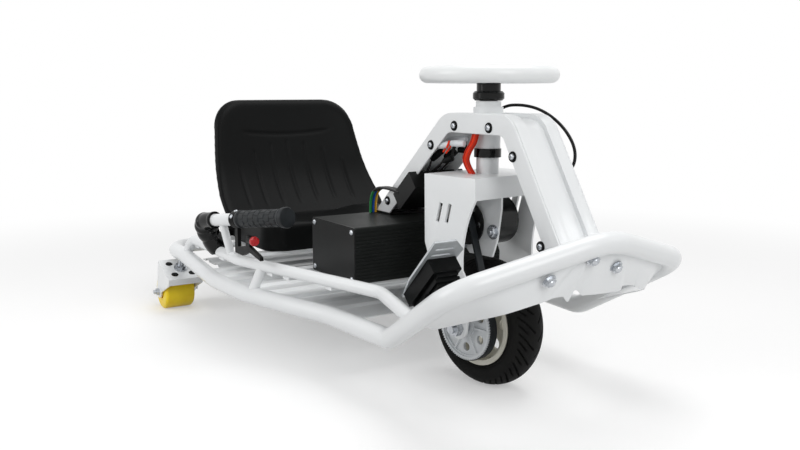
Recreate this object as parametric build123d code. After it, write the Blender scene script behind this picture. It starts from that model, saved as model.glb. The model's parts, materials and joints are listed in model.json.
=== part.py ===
from build123d import *
from math import atan2, cos, degrees, hypot, radians, sin, sqrt, tan
import os

# Electric drift kart: one driven and steered wheel in front, two tilted roller casters behind.
# Millimetres, +X forward, +Y to the driver's left, +Z up. While it is modelled, the origin is where
# the steering axis meets the ground; each piece is moved to the middle of the kart when it is written.

# Frame tubes
MAIN_R = 19.0            # lower side member, rear bar and front hoop
RAIL_R = 12.5            # upper side rail
STRUT_R = 11.0           # strut between member and rail
MEMBER_Z = 133.0         # height of the lower member's centreline
REAR_Z = 160.0           # height of the rear bar's centreline
RAIL_Z = 204.0           # height of the upper rail's centreline
REAR_X = -952.0          # rear bar's centreline
MEMBER_REAR_Y = 338.0    # half width at the back
MEMBER_MID_X = -450.0
MEMBER_MID_Y = 324.0
WAIST_X = -180.0
WAIST_Y = 250.0
JOIN_X = -60.0           # where the hoop is welded to the lower member
JOIN_Y = 240.0
SHOULDER_X = 20.0
SHOULDER_Y = JOIN_Y - (WAIST_Y - JOIN_Y) * (SHOULDER_X - JOIN_X) / (JOIN_X - WAIST_X)
RISE_X = -610.0          # the member climbs from here to the rear bar
RISE_Y = 334.0
RISE_END_X = -830.0
NOSE_CORNER = (249.0, 262.0, 268.0)
NOSE_TIP_X = 328.0
NOSE_TIP_Z = 340.0
CORNER_BEND = 75.0       # centreline bend of the rear corner
BEND_EASE = 1.0          # kept straight between a bend and its joint
MEMBER_BENDS = (120.0, 250.0, 200.0, 200.0)
HOOP_BENDS = (60.0, 70.0, 120.0, 70.0, 60.0)
BIG = 400.0              # half reach of a cutter that passes right through

# Nose sheet
PAN_T = 2.5
PAN_EDGE = ((110.0, -197.0, 168.0), (180.0, -180.0, 195.0), (257.0, -165.0, 221.0), (281.0, -90.0, 238.0))
PAN_MID = (290.0, 0.0, 252.0)
PAN_LEG_SHARES = (0.40, 0.80)    # welds along the hoop's leg, then along its front
PAN_FRONT_SHARES = (0.19, 0.83)
PAN_TIP_IN = 9.0

# Upper rail
RAIL_REAR_X = -806.0
RAIL_REAR_Y = 322.0
RAIL_BEND_X = -480.0
RAIL_BEND_Y = 326.0
RAIL_FRONT_X = -45.0
RAIL_FRONT_Y = 213.0
RAIL_END_RATIO = 0.44    # where on the hoop's leg the rail lands
RAIL_BENDS = (34.0, 150.0, 60.0)
RAIL_FOOT = (-4.0, 2.0, 4.0)   # rail's rear end, inside the member it is welded to
STRUT_TOP_X = -392.0
STRUT_FOOT_X = -427.0

# Floor sheet
FLOOR_T = 2.0
FLOOR_FRONT_X = -165.0
FLOOR_REAR_X = -925.0
FLOOR_NOTCH_X = -780.0   # open around the casters behind here
FLOOR_NOTCH_Y = 255.0
FLOOR_PITCH = 70.0       # corrugation
FLOOR_RIB_W = 30.0
FLOOR_RIB_H = 6.0
FLOOR_DROP = 10.0        # sheet below the members' centreline
FLOOR_LAP = 2.0          # sheet's edge let into the tube

# Cross bars welded under the rails
BAR_W = 30.0
BAR_T = 8.0
BAR_TOP_Z = 193.0
CROSS_BAR_X = (-190.0, -318.0, -372.0, -590.0, -770.0)

# Tower over the steered wheel: two flat side bands, a skin with two raised ribs
TOWER_W = 100.0
TOWER_TOP_Z = 537.0
TOWER_TOP_REAR_X = -77.0
TOWER_TOP_FRONT_X = 125.0
TOWER_REAR_SLOPE = 0.855
TOWER_FRONT_SLOPE = 1.585
TOWER_REAR_R = 70.0
TOWER_FRONT_R = 55.0
BAND_W = 38.0
BAND_T = 4.0
SKIN_T = 3.0
RIB_W = 24.0             # raised rib along each edge of the skin
RIB_H = 9.0
TOWER_FOOT_Z = 313.0     # rear legs end here
TOWER_LOW_Z = 190.0      # the arch is drawn down to here, then cut at its feet
BRACKET_T = 4.0
BRACKET_TOP_T = 3.0
BRACKET_FOOT_L = 34.0
TOWER_PLATE_T = 4.0
NOSE_PLATE_X = 240.0
NOSE_PLATE_Z = 318.0
NOSE_PLATE_REAR = 26.0   # plate behind the tower's foot
NOSE_PLATE_FRONT_X = 312.0    # the plate butts on the hoop's tube here
NOSE_PLATE_DROP = 11.0   # it points this far below the top of the nose

# Steering
STEER_REST = 8.4         # degrees to the left, as it is parked
COLUMN_R = 17.0
COLUMN_FIT = 0.05
HEAD_R = 24.0
HEAD_TOP_Z = 559.0
HEAD_LOW_Z = 470.0
HEAD_FLANGE_R = 28.5
HEAD_FLANGE_Z = (529.0, 548.0)
RIM_CENTRE_R = 117.0
RIM_TUBE_R = 15.4
RIM_Z = 608.0
LOW_COLLAR_R = 26.0
LOW_COLLAR_Z = (453.0, 469.5)
LOW_STEM_R = 21.5
CLAMP_R = 30.0
CLAMP_Z = (560.0, 578.0)
WHEEL_HUB_R = 23.0
HUB_TOP_Z = 593.0
BOSS_R = 34.0
BOSS_T = 10.0
SPOKE_COUNT = 3
SPOKE_W = 26.0
SPOKE_T = 6.0
CLAMP_CHAMFER = 4.0

# Fork
FORK_W = 200.0
FORK_T = 5.0
CROWN_REAR = 70.0
CROWN_FRONT = 66.0
CROWN_Z = 422.0
LIP_H = 40.0
DROPOUT_R = 22.0
CHEEK_WAIST = (36.0, 300.0)
CHEEK_NECK = (37.0, 225.0)
SLOT_X = (-28.0, -4.0)    # two plain slanted slots in each cheek
SLOT_Z = 352.0
SLOT_W = 9.0
SLOT_H = 38.0
SLOT_LEAN = 15.0
CHEEK_REAR = ((-30.0, 195.0), (-55.0, 258.0), (-68.0, 290.0))
AXLE_NUT_R = 15.0
AXLE_NUT_T = 14.0
SPACER_R = 14.0
SPACER_GAP = 0.4
AXLE_R = 8.0
AXLE_HALF = 96.0
JOGGLE_Y = 26.0          # the cheeks step inward below the crown
JOGGLE_Z = (196.0, 250.0)

# Drive wheel
WHEEL_R = 127.5
WHEEL_Y = 8.0            # the tyre sits off the centre, beside the belt
TYRE_W = 78.0
RIM_R = 76.0
RIM_FLANGE_R = 83.0
HUB_BORE_R = 8.05
PULLEY_R = 64.0
PULLEY_Y = (-55.0, -37.0)
HUB_Y = (-30.0, 55.0)
HUB_R = 22.0
BELT_T = 4.0
BELT_GAP = 0.3
BELT_MARGIN = 1.0        # pulley face beside the belt
TYRE_BEAD = 14.0         # each bead stands in from the tyre's side
TYRE_HEEL = 8.0
TYRE_FLANK_R = 104.0     # radius at the widest point
RIM_EASE = 1.0           # tyre stands off the rim's flange
RIM_FLANGE_T = 2.0
TYRE_SHOULDER = (13.0, 6.0)    # in from the crown and from the side
RIM_WALL = 3.0
RIM_WEB_T = 8.0
RIM_HOLES = 6
RIM_HOLE_R = 12.0
RIM_HOLE_AT = 47.0
PULLEY_WALL = 7.0
PULLEY_WEB_T = 6.0
PULLEY_HUB_R = 20.0
PULLEY_RIBS = 6
PULLEY_HOLE_R = 8.5
PULLEY_HOLE_AT = 42.0

# Motor
MOTOR_X = -18.0
MOTOR_Z = 326.0
MOTOR_R = 48.0
MOTOR_Y = (-19.0, 64.0)
PLATE_Y = (-26.0, -21.0)
MOTOR_PULLEY_R = 20.0
FLANGE_DISC_R = 42.0
FLANGE_DISC_T = 4.0
DISC_HOLES = 6
DISC_HOLE_R = 5.0
DISC_HOLE_AT = 31.0
MOTOR_FACE_R = 40.0
MOTOR_SHAFT_R = 6.0
SHAFT_HOLE_R = 10.0
CAN_CHAMFER = 4.0
MOTOR_PLATE_OUTLINE = ((-52.0, 300.0), (-20.0, 266.0), (40.0, 266.0), (52.0, 300.0), (61.0, 360.0))

# Battery
BATTERY_X = (-346.0, -162.0)
BATTERY_HALF = 205.0
BATTERY_H = 116.0
END_PLATE_T = 4.0
END_PLATE_LAP = 1.0      # end plates stand proud of the case by this
CASE_R = 5.0
CASE_RIDGES = 14
CASE_MARGIN = 8.0
RIDGE_DEPTH = 1.5

# Seat
SEAT_FRONT_X = -560.0
SEAT_Z = BAR_TOP_Z
SEAT_LIP_Z = 262.0
SEAT_HALF = 215.0
BACK_HALF = 235.0
BACK_TOP_HALF = 200.0
BACK_TOP_Z = 552.0
BACK_AXIS_X = -228.0     # vertical line that the back wraps around
BACK_T = 16.0
BACK_LOW = (590.0, 12.0)       # radius about that line, and height over the seat's foot
BACK_MID = (672.0, 370.0)      # radius and height
BACK_TOP = (720.0, 20.0)       # radius, and height over the back's own top
BACK_SIDE_Z = 300.0      # the sides run upright to here
BACK_CORNER_R = 80.0
SEAT_REAR_X = -790.0
SEAT_CORNER_R = 55.0
SEAT_LIP_R = 12.0
DISH_X = -690.0
DISH_R = 545.0
DISH_DEPTH = 25.0

# Casters
CASTER_X = -875.0
CASTER_Y = 334.0
CASTER_Z = 114.0         # top of the yoke's plate on the swivel axis
CASTER_TILT = 22.0       # degrees, top leans forward
ROLLER_X = -925.0
ROLLER_R = 47.0
ROLLER_W = 78.0
YOKE_T = 4.0
YOKE_PLATE = (-48.0, 50.0)
YOKE_FOLD_H = 18.0
YOKE_EAR_R = 17.0
YOKE_HOLE = (26.0, 23.0, 9.0)  # plate's corner holes: off the axis each way, and radius
YOKE_SIDE_GAP = 2.5
SWIVEL_R = 8.0
SWIVEL_FIT = 0.05
SWIVEL_GAP = 0.4
RING_R = 17.0
RING_H = 4.0
NUT_R = 13.0
NUT_H = 8.0
STUD_TOP = 44.0
STUD_LOW = 10.0
ROLLER_AXLE_R = 6.0
ROLLER_EDGE_R = 8.0
ROLLER_FACE = (12.0, 20.0, 6.0)   # sunk ring in each side: inner and outer radius, depth
AXLE_HEAD = (10.0, 7.0)           # hexagon's corner radius and thickness
AXLE_TAIL = 7.0

# Drift lever on the right rail
LEVER_R = 14.0
GRIP_R = 19.0
GRIP_END_R = 22.0
LEVER_REAR = (-566.0, -355.0, 285.0)
LEVER_END = (-310.0, -285.0, 318.0)
GRIP_SHARE = 0.42
CAP_SHARE = 1.03
POST_SHARE = 0.16
POST_R = 9.0
POST_LEAN = 6.0
ELBOW_SHARE = 0.16
ELBOW_LAP = 0.06
ELBOW_IN = 14.0          # the elbow's foot stands on the rail's inner side
ELBOW_BEND = 30.0
ELBOW_R = 18.0
HANG_SHARE = 0.38
STRAP_T = 8.0
STRAP_HALF = 8.0
STRAP_FOOT_Z = 222.0
STRAP_OUTLINE = (        # from the strap's foot: forward and up
    (-10.0, 0.0),
    (34.0, 0.0),
    (70.0, 14.0),
    (132.0, 4.0),
    (130.0, 12.0),
    (74.0, 26.0),
    (74.0, 48.0),
    (58.0, 48.0),
    (52.0, 24.0),
    (8.0, 16.0),
)
SWITCH_AT = (70.0, 40.0)
SWITCH_R = 9.0
SWITCH_L = 20.0
STRAP_RING = (5.0, 0.03)          # wall, and share of the bar each way

# Pedal, to the right of the steered wheel
PEDAL_Y = -167.0
PEDAL_W = 76.0
PEDAL_HEEL = (0.0, 201.0)
PEDAL_L = 172.0
PEDAL_T = 4.0
PEDAL_HEEL_IN = 12.0
PEDAL_CORNER = 30.0
PEDAL_SLOT_COUNT = 3
PEDAL_BODY_IN = 16.0
PEDAL_SLOTS = (22.0, 17.0, 5.0, 40.0)   # first from the toe, pitch, width and length
PEDAL_BLOCK = (13.0, 123.0, 28.0)       # from and to along the plate, and depth
BELLOWS = 4
BELLOWS_T = 7.0
PEDAL_POST_R = 9.0
PEDAL_POST_SHARE = 0.5   # where the post meets the hoop's leg

# Controller housing, leads and cable
CONTROLLER_X = -192.0
CONTROLLER_Z = 372.0
CONTROLLER_L = 80.0
CONTROLLER_W = 136.0
CONTROLLER_H = 40.0
LEAD_COUNT = 3
LEAD_CLEAR = 0.4         # nearest lead to the tower's side
LEAD_PITCH = 6.4
LEAD_R = 3.0
CABLE_R = 3.0
NOSE_RISE = 0.61         # slope of the nose, along which the sheet has its thickness
CABLE_PATH = (
    (-38.0, 34.0, 525.0),
    (-38.0, 62.0, 549.0),
    (6.0, 82.0, 552.0),
    (64.0, 84.0, 541.0),
    (122.0, 82.0, 512.0),
    (162.0, 76.0, 472.0),
    (161.0, 68.0, 434.0),
    (140.0, 46.0, 412.0),
)
CABLE_BENDS = (14.0, 20.0, 60.0, 60.0, 40.0, 26.0, 14.0)
BATTERY_LEAD = ((-215.0, 366.0), (-262.0, 372.0), (-318.0, 366.0), (-336.0, 336.0), (-334.0, 309.0))
BATTERY_LEAD_BENDS = (60.0, 26.0, 40.0)
MOTOR_LEAD = ((6.0, -36.0, 516.0), (2.0, -37.0, 486.0), (-20.0, -36.0, 462.0), (-26.0, -35.0, 442.0), (-8.0, -34.0, 422.0))
MOTOR_LEAD_BENDS = (30.0, 20.0, 16.0)
MOTOR_LEAD_STEP = ((-4.0, 0.0), (2.5, -2.0), (9.0, -4.0))

# Middle of the kart's box: half way between the nose and the rollers' backs
NOSE_X = NOSE_TIP_X + MAIN_R
BACK_X = ROLLER_X - ROLLER_R
CENTRE_X = (NOSE_X + BACK_X) / 2

pieces = {}


def mirrored(points):
    return [(x, -y, z) for x, y, z in points]


def rod(start, end, radius):
    start = Vector(*start)
    end = Vector(*end)
    span = end - start
    return Plane(start, z_dir=span) * extrude(Circle(radius), span.length)


def bent_tube(points, bends, radius):
    """One tube through the points, each inner corner rounded with its own bend."""
    corners = [Vector(*p) for p in points]
    spans = []
    last = corners[0]
    for index in range(1, len(corners) - 1):
        here = corners[index]
        back = (corners[index - 1] - here).normalized()
        ahead = (corners[index + 1] - here).normalized()
        half = radians(back.get_angle(ahead)) / 2
        reach = bends[index - 1] / tan(half)
        centre = here + (back + ahead).normalized() * (bends[index - 1] / sin(half))
        entry = here + back * reach
        leave = here + ahead * reach
        spans.append(rod(last, entry, radius))
        turn = (entry - centre).cross(leave - centre)
        spans.append(revolve(Plane(entry, z_dir=back) * Circle(radius), Axis(centre, turn), 180 - 2 * degrees(half)))
        last = leave
    spans.append(rod(last, corners[-1], radius))
    return spans[0].fuse(*spans[1:]).clean()


def along(start, end, share):
    return tuple(a + (b - a) * share for a, b in zip(start, end))


def member_y(x):
    """Half width of the lower member's centreline between the waist and the middle."""
    share = (WAIST_X - x) / (WAIST_X - MEMBER_MID_X)
    return WAIST_Y + (MEMBER_MID_Y - WAIST_Y) * share


def member_z(x):
    """Height of the lower member's centreline behind its rise."""
    share = (RISE_X - x) / (RISE_X - RISE_END_X)
    return MEMBER_Z + (REAR_Z - MEMBER_Z) * min(max(share, 0), 1)


def build_frame():
    right_member = [
        (JOIN_X, -JOIN_Y, MEMBER_Z),
        (WAIST_X, -WAIST_Y, MEMBER_Z),
        (MEMBER_MID_X, -MEMBER_MID_Y, MEMBER_Z),
        (RISE_X, -RISE_Y, MEMBER_Z),
        (RISE_END_X, -MEMBER_REAR_Y, REAR_Z),
        (REAR_X + CORNER_BEND, -MEMBER_REAR_Y, REAR_Z),
    ]
    for side, flip in (("right", False), ("left", True)):
        line = mirrored(right_member) if flip else right_member
        pieces["frame_side_" + side] = bent_tube(line, MEMBER_BENDS, MAIN_R)
    rear = [
        (REAR_X + CORNER_BEND, -MEMBER_REAR_Y, REAR_Z),
        (REAR_X, -MEMBER_REAR_Y, REAR_Z),
        (REAR_X, MEMBER_REAR_Y, REAR_Z),
        (REAR_X + CORNER_BEND, MEMBER_REAR_Y, REAR_Z),
    ]
    pieces["rear_bar"] = bent_tube(rear, [CORNER_BEND - BEND_EASE] * 2, MAIN_R)
    hoop_half = [
        (JOIN_X, -JOIN_Y, MEMBER_Z),
        (SHOULDER_X, -SHOULDER_Y, MEMBER_Z),
        (NOSE_CORNER[0], -NOSE_CORNER[1], NOSE_CORNER[2]),
    ]
    hoop = hoop_half + [(NOSE_TIP_X, 0, NOSE_TIP_Z)] + mirrored(hoop_half)[::-1]
    pieces["front_hoop"] = bent_tube(hoop, HOOP_BENDS, MAIN_R)
    shoulder = (SHOULDER_X, -SHOULDER_Y, MEMBER_Z)
    corner = (NOSE_CORNER[0], -NOSE_CORNER[1], NOSE_CORNER[2])
    rail_end = along(shoulder, corner, RAIL_END_RATIO)
    rail = [
        (RAIL_REAR_X + RAIL_FOOT[0], -MEMBER_REAR_Y + RAIL_FOOT[1], member_z(RAIL_REAR_X) + RAIL_FOOT[2]),
        (RAIL_REAR_X, -RAIL_REAR_Y, RAIL_Z),
        (RAIL_BEND_X, -RAIL_BEND_Y, RAIL_Z),
        (RAIL_FRONT_X, -RAIL_FRONT_Y, RAIL_Z),
        rail_end,
    ]
    slope = (RAIL_BEND_Y - RAIL_FRONT_Y) / (RAIL_FRONT_X - RAIL_BEND_X)
    strut_y = RAIL_BEND_Y - slope * (STRUT_TOP_X - RAIL_BEND_X)
    strut_top = (STRUT_TOP_X, -strut_y, RAIL_Z)
    strut_foot = (STRUT_FOOT_X, -member_y(STRUT_FOOT_X), MEMBER_Z)
    struts = []
    rails = []
    for side, flip in (("right", False), ("left", True)):
        member = pieces["frame_side_" + side]
        line = mirrored(rail) if flip else rail
        raw = bent_tube(line, RAIL_BENDS, RAIL_R)
        rail_piece = largest(raw - member - pieces["front_hoop"])
        rails.append(rail_piece)
        ends = mirrored([strut_top, strut_foot]) if flip else [strut_top, strut_foot]
        struts.append(largest(rod(ends[0], ends[1], STRUT_R) - member - rail_piece))
    pieces["side_rails"] = Compound(children=rails)
    pieces["rail_struts"] = Compound(children=struts)


def largest(shape):
    solids = shape.solids()
    return max(solids, key=lambda s: s.volume)


def build_floor():
    length = FLOOR_FRONT_X - FLOOR_REAR_X
    count = int(length / FLOOR_PITCH)
    base_z = MEMBER_Z - FLOOR_DROP
    top = [(FLOOR_REAR_X, base_z)]
    for index in range(count):
        x = FLOOR_REAR_X + FLOOR_PITCH * (index + 0.5) - FLOOR_RIB_W / 2
        top.append((x, base_z))
        top.append((x + FLOOR_RIB_H, base_z + FLOOR_RIB_H))
        top.append((x + FLOOR_RIB_W - FLOOR_RIB_H, base_z + FLOOR_RIB_H))
        top.append((x + FLOOR_RIB_W, base_z))
    top.append((FLOOR_FRONT_X, base_z))
    under = [(x, z - FLOOR_T) for x, z in reversed(top)]
    profile = Plane.XZ * make_face(Polyline(*(top + under), close=True))
    wide = extrude(profile, BIG, both=True)
    inner = MAIN_R - FLOOR_LAP
    plan = [
        (FLOOR_FRONT_X, WAIST_Y - inner),
        (WAIST_X, WAIST_Y - inner),
        (MEMBER_MID_X, MEMBER_MID_Y - inner),
        (RISE_X, RISE_Y - inner),
        (FLOOR_NOTCH_X, RISE_Y - inner),
        (FLOOR_NOTCH_X, FLOOR_NOTCH_Y),
        (FLOOR_REAR_X, FLOOR_NOTCH_Y),
    ]
    outline = plan + [(x, -y) for x, y in reversed(plan)]
    block = extrude(make_face(Polyline(*outline, close=True)), BIG)
    floor = wide & block
    for name in ("frame_side_right", "frame_side_left", "rear_bar"):
        floor = floor - pieces[name]
    pieces["floor_pan"] = largest(floor)


def rail_y(x):
    """Half width of the upper rail's centreline."""
    if x < RAIL_BEND_X:
        share = (x - RAIL_REAR_X) / (RAIL_BEND_X - RAIL_REAR_X)
        return RAIL_REAR_Y + (RAIL_BEND_Y - RAIL_REAR_Y) * share
    share = (x - RAIL_BEND_X) / (RAIL_FRONT_X - RAIL_BEND_X)
    return RAIL_BEND_Y + (RAIL_FRONT_Y - RAIL_BEND_Y) * share


def build_bars():
    bars = []
    for x in CROSS_BAR_X:
        bar = Pos(x, 0, BAR_TOP_Z - BAR_T / 2) * Box(BAR_W, 2 * rail_y(x), BAR_T)
        for rail in pieces["side_rails"].solids():
            bar = bar - rail
        bars.append(largest(bar))
    pieces["cross_bars"] = Compound(children=bars)


def tower_outline(inset, low):
    """Side view of the tower's arch, moved inward by inset and closed below at low."""
    rear_angle = atan2(TOWER_REAR_SLOPE, 1)
    front_angle = atan2(TOWER_FRONT_SLOPE, 1)
    top = TOWER_TOP_Z - inset
    rear_top = TOWER_TOP_REAR_X + inset * tan(rear_angle / 2)
    front_top = TOWER_TOP_FRONT_X - inset * tan(front_angle / 2)
    drop = top - low
    rear_low = rear_top - drop / TOWER_REAR_SLOPE
    front_low = front_top + drop / TOWER_FRONT_SLOPE
    line = Polyline((rear_low, low), (rear_top, top), (front_top, top), (front_low, low), close=True)
    face = make_face(line)
    corners = face.vertices().group_by(Axis.Y)[-1].sort_by(Axis.X)
    rear_r = max(TOWER_REAR_R - inset, 20.0)
    front_r = max(TOWER_FRONT_R - inset, 16.0)
    face = fillet(corners[0], rear_r)
    corners = face.vertices().sort_by(Axis.X)
    front = [v for v in corners if abs(v.Y - top) < 0.01 and v.X > front_top - 1]
    return fillet(front[0], front_r)


def tower_band(outer_inset, inner_inset, y_low, y_high):
    face = tower_outline(outer_inset, TOWER_LOW_Z) - tower_outline(inner_inset, TOWER_LOW_Z)
    solid = extrude(Plane.XZ * face, -(y_high - y_low))
    return Pos(0, y_low, 0) * solid


def build_tower():
    half = TOWER_W / 2
    right = tower_band(0, BAND_W, -half, -half + BAND_T)
    left = tower_band(0, BAND_W, half - BAND_T, half)
    skin = tower_band(RIB_H, RIB_H + SKIN_T, -half + BAND_T, half - BAND_T)
    for sign in (-1, 1):
        low_y = -half + BAND_T if sign < 0 else half - BAND_T - RIB_W
        rib = tower_band(0, RIB_H, low_y, low_y + RIB_W)
        skin = skin + rib
    foot_rear = Pos(-BIG, 0, TOWER_FOOT_Z - BIG) * Box(2 * BIG, 2 * BIG, 2 * BIG)
    foot_rear = foot_rear & Pos(CROWN_FRONT - BIG, 0, 0) * Box(2 * BIG, 2 * BIG, 4 * BIG)
    nose_dir = atan2(NOSE_TIP_Z + MAIN_R - NOSE_PLATE_DROP - NOSE_PLATE_Z, NOSE_TIP_X - NOSE_PLATE_X)
    cutter = Pos(NOSE_PLATE_X, 0, NOSE_PLATE_Z) * Rot(0, -degrees(nose_dir), 0) * Pos(0, 0, -BIG) * Box(4 * BIG, 2 * BIG, 2 * BIG)
    cutter = cutter & Pos(TOWER_TOP_FRONT_X + BIG, 0, 0) * Box(2 * BIG, 2 * BIG, 4 * BIG)
    low, high = HEAD_FLANGE_Z
    head = Pos(0, 0, HEAD_TOP_Z) * Cylinder(HEAD_R, BIG) + Pos(0, 0, (low + high) / 2) * Cylinder(HEAD_FLANGE_R, high - low)
    sides = [largest(right - foot_rear - cutter), largest(left - foot_rear - cutter)]
    pieces["tower_sides"] = Compound(children=sides)
    pieces["tower_skin"] = largest(skin - foot_rear - cutter - head)
    plate = Pos(NOSE_PLATE_X, 0, NOSE_PLATE_Z) * Rot(0, -degrees(nose_dir), 0)
    plate_len = (NOSE_PLATE_FRONT_X - NOSE_PLATE_X) / cos(nose_dir)
    whole = plate_len + NOSE_PLATE_REAR
    middle = (plate_len - NOSE_PLATE_REAR) / 2
    blank = plate * (Pos(middle, 0, -TOWER_PLATE_T / 2) * Box(whole, TOWER_W, TOWER_PLATE_T))
    pieces["tower_nose_plate"] = largest(blank - pieces["front_hoop"])
    # Black bracket behind the battery that carries the rear legs
    wall_x = BATTERY_X[0] - BRACKET_T
    foot_x = TOWER_TOP_REAR_X - (TOWER_TOP_Z - TOWER_FOOT_Z) / TOWER_REAR_SLOPE
    flange_front = foot_x + BAND_W / sin(atan2(TOWER_REAR_SLOPE, 1)) + BRACKET_T
    flange_l = flange_front - wall_x + BRACKET_T
    top = Pos(flange_front - flange_l / 2, 0, TOWER_FOOT_Z - BRACKET_TOP_T / 2) * Box(flange_l, TOWER_W, BRACKET_TOP_T)
    wall_h = TOWER_FOOT_Z - BAR_TOP_Z
    wall = Pos(wall_x - BRACKET_T / 2, 0, BAR_TOP_Z + wall_h / 2) * Box(BRACKET_T, TOWER_W, wall_h)
    base = Pos(wall_x - BRACKET_FOOT_L / 2, 0, BAR_TOP_Z + BRACKET_T / 2) * Box(BRACKET_FOOT_L, TOWER_W, BRACKET_T)
    pieces["tower_bracket"] = top + wall + base


def build_head():
    tube = Pos(0, 0, (HEAD_TOP_Z + HEAD_LOW_Z) / 2) * Cylinder(HEAD_R, HEAD_TOP_Z - HEAD_LOW_Z)
    low, high = HEAD_FLANGE_Z
    flange = Pos(0, 0, (low + high) / 2) * Cylinder(HEAD_FLANGE_R, high - low)
    bore = Pos(0, 0, HEAD_TOP_Z) * Cylinder(COLUMN_R + COLUMN_FIT, BIG)
    pieces["head_tube"] = tube + flange - bore


def steered(shape):
    return Rot(0, 0, STEER_REST) * shape


def build_steering():
    wheel = Pos(0, 0, RIM_Z) * Torus(RIM_CENTRE_R, RIM_TUBE_R)
    boss = Pos(0, 0, HUB_TOP_Z + BOSS_T / 2) * Cylinder(BOSS_R, BOSS_T)
    spoke_z = HUB_TOP_Z + BOSS_T - SPOKE_T / 2
    for index in range(SPOKE_COUNT):
        turn = Rot(0, 0, 360 / SPOKE_COUNT * index)
        spoke = turn * (Pos(RIM_CENTRE_R / 2, 0, spoke_z) * Box(RIM_CENTRE_R, SPOKE_W, SPOKE_T))
        boss = boss + spoke
    pieces["steering_wheel"] = steered(wheel + boss)
    shaft = Pos(0, 0, (CROWN_Z + HUB_TOP_Z) / 2) * Cylinder(COLUMN_R, HUB_TOP_Z - CROWN_Z)
    stem = Pos(0, 0, (CROWN_Z + LOW_COLLAR_Z[0]) / 2) * Cylinder(LOW_STEM_R, LOW_COLLAR_Z[0] - CROWN_Z)
    pieces["steering_column"] = steered(shaft + stem)
    bore = Pos(0, 0, HEAD_TOP_Z) * Cylinder(COLUMN_R, BIG)
    low = Pos(0, 0, (LOW_COLLAR_Z[0] + LOW_COLLAR_Z[1]) / 2) * Cylinder(LOW_COLLAR_R, LOW_COLLAR_Z[1] - LOW_COLLAR_Z[0])
    clamp = Pos(0, 0, (CLAMP_Z[0] + CLAMP_Z[1]) / 2) * Cylinder(CLAMP_R, CLAMP_Z[1] - CLAMP_Z[0])
    clamp = chamfer(clamp.edges().filter_by(GeomType.CIRCLE), CLAMP_CHAMFER)
    hub = Pos(0, 0, (CLAMP_Z[1] + HUB_TOP_Z) / 2) * Cylinder(WHEEL_HUB_R, HUB_TOP_Z - CLAMP_Z[1])
    pieces["column_collars"] = steered(Compound(children=[low - bore, clamp + hub - bore]))


def cheek_face():
    """One side plate of the fork, in the XZ plane."""
    with BuildSketch() as sketch:
        with BuildLine():
            Polyline(
                (CHEEK_NECK[0], CHEEK_NECK[1]),
                (DROPOUT_R, WHEEL_R),
                (-DROPOUT_R, WHEEL_R),
                *CHEEK_REAR,
                (-CROWN_REAR, CROWN_Z),
                (CROWN_FRONT, CROWN_Z),
                (CROWN_FRONT, CROWN_Z - LIP_H),
            )
            ThreePointArc((CROWN_FRONT, CROWN_Z - LIP_H), CHEEK_WAIST, CHEEK_NECK)
        make_face()
    return sketch.sketch + Pos(0, WHEEL_R) * Circle(DROPOUT_R)


def build_fork():
    half = FORK_W / 2
    crown = Pos((CROWN_FRONT - CROWN_REAR) / 2, 0, CROWN_Z - FORK_T / 2) * Box(
        CROWN_FRONT + CROWN_REAR, FORK_W, FORK_T
    )
    low_y = half - JOGGLE_Y
    low_z, high_z = JOGGLE_Z
    bend = [(half, CROWN_Z), (half, high_z), (low_y, low_z), (low_y, 0)]
    bend = bend + [(low_y - FORK_T, 0), (low_y - FORK_T, low_z - 1), (half - FORK_T, high_z - 1), (half - FORK_T, CROWN_Z)]
    strip = extrude(Plane.YZ * make_face(Polyline(*bend, close=True)), BIG, both=True)
    cheek = extrude(Plane.XZ * cheek_face(), BIG, both=True)
    far = strip & cheek
    near = mirror(far, about=Plane.XZ)
    lip = Pos(CROWN_FRONT - FORK_T / 2, 0, CROWN_Z - LIP_H / 2) * Box(FORK_T, FORK_W, LIP_H)
    fork = crown + near + far + lip
    holes = Pos(0, 0, WHEEL_R) * Rot(90, 0, 0) * Cylinder(AXLE_R, BIG)
    slots = None
    for y in (-half, half):
        for x in SLOT_X:
            slot = Pos(x, y, SLOT_Z) * Rot(0, SLOT_LEAN, 0) * Box(SLOT_W, 4 * FORK_T, SLOT_H)
            slots = slot if slots is None else slots + slot
    fork = fork - holes - slots
    pieces["fork"] = steered(fork)
    top = CROWN_Z - FORK_T
    ends = [(MOTOR_PLATE_OUTLINE[0][0], top), (MOTOR_PLATE_OUTLINE[-1][0], top)]
    plate = make_face(Polyline(ends[0], *MOTOR_PLATE_OUTLINE, ends[1], close=True))
    solid = Pos(0, PLATE_Y[0], 0) * extrude(Plane.XZ * plate, -(PLATE_Y[1] - PLATE_Y[0]))
    shaft_hole = Pos(MOTOR_X, 0, MOTOR_Z) * Rot(90, 0, 0) * Cylinder(SHAFT_HOLE_R, BIG)
    pieces["motor_plate"] = steered(solid - shaft_hole)
    axle = Pos(0, 0, WHEEL_R) * Rot(90, 0, 0) * Cylinder(AXLE_R, 2 * AXLE_HALF)
    for side in (-1, 1):
        nut = extrude(RegularPolygon(AXLE_NUT_R, 6), AXLE_NUT_T / 2, both=True)
        nut = Pos(0, side * (low_y + AXLE_NUT_T / 2), WHEEL_R) * Rot(90, 0, 0) * nut
        axle = axle + nut
    for side in (-1, 1):
        spacer_out = low_y - FORK_T
        spacer_in = SPACER_GAP + (HUB_Y[1] if side > 0 else -PULLEY_Y[0])
        spacer = Rot(90, 0, 0) * Cylinder(SPACER_R, spacer_out - spacer_in)
        spacer = Pos(0, side * (spacer_out + spacer_in) / 2, WHEEL_R) * spacer
        axle = axle + spacer
    pieces["axle"] = steered(axle)


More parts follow.
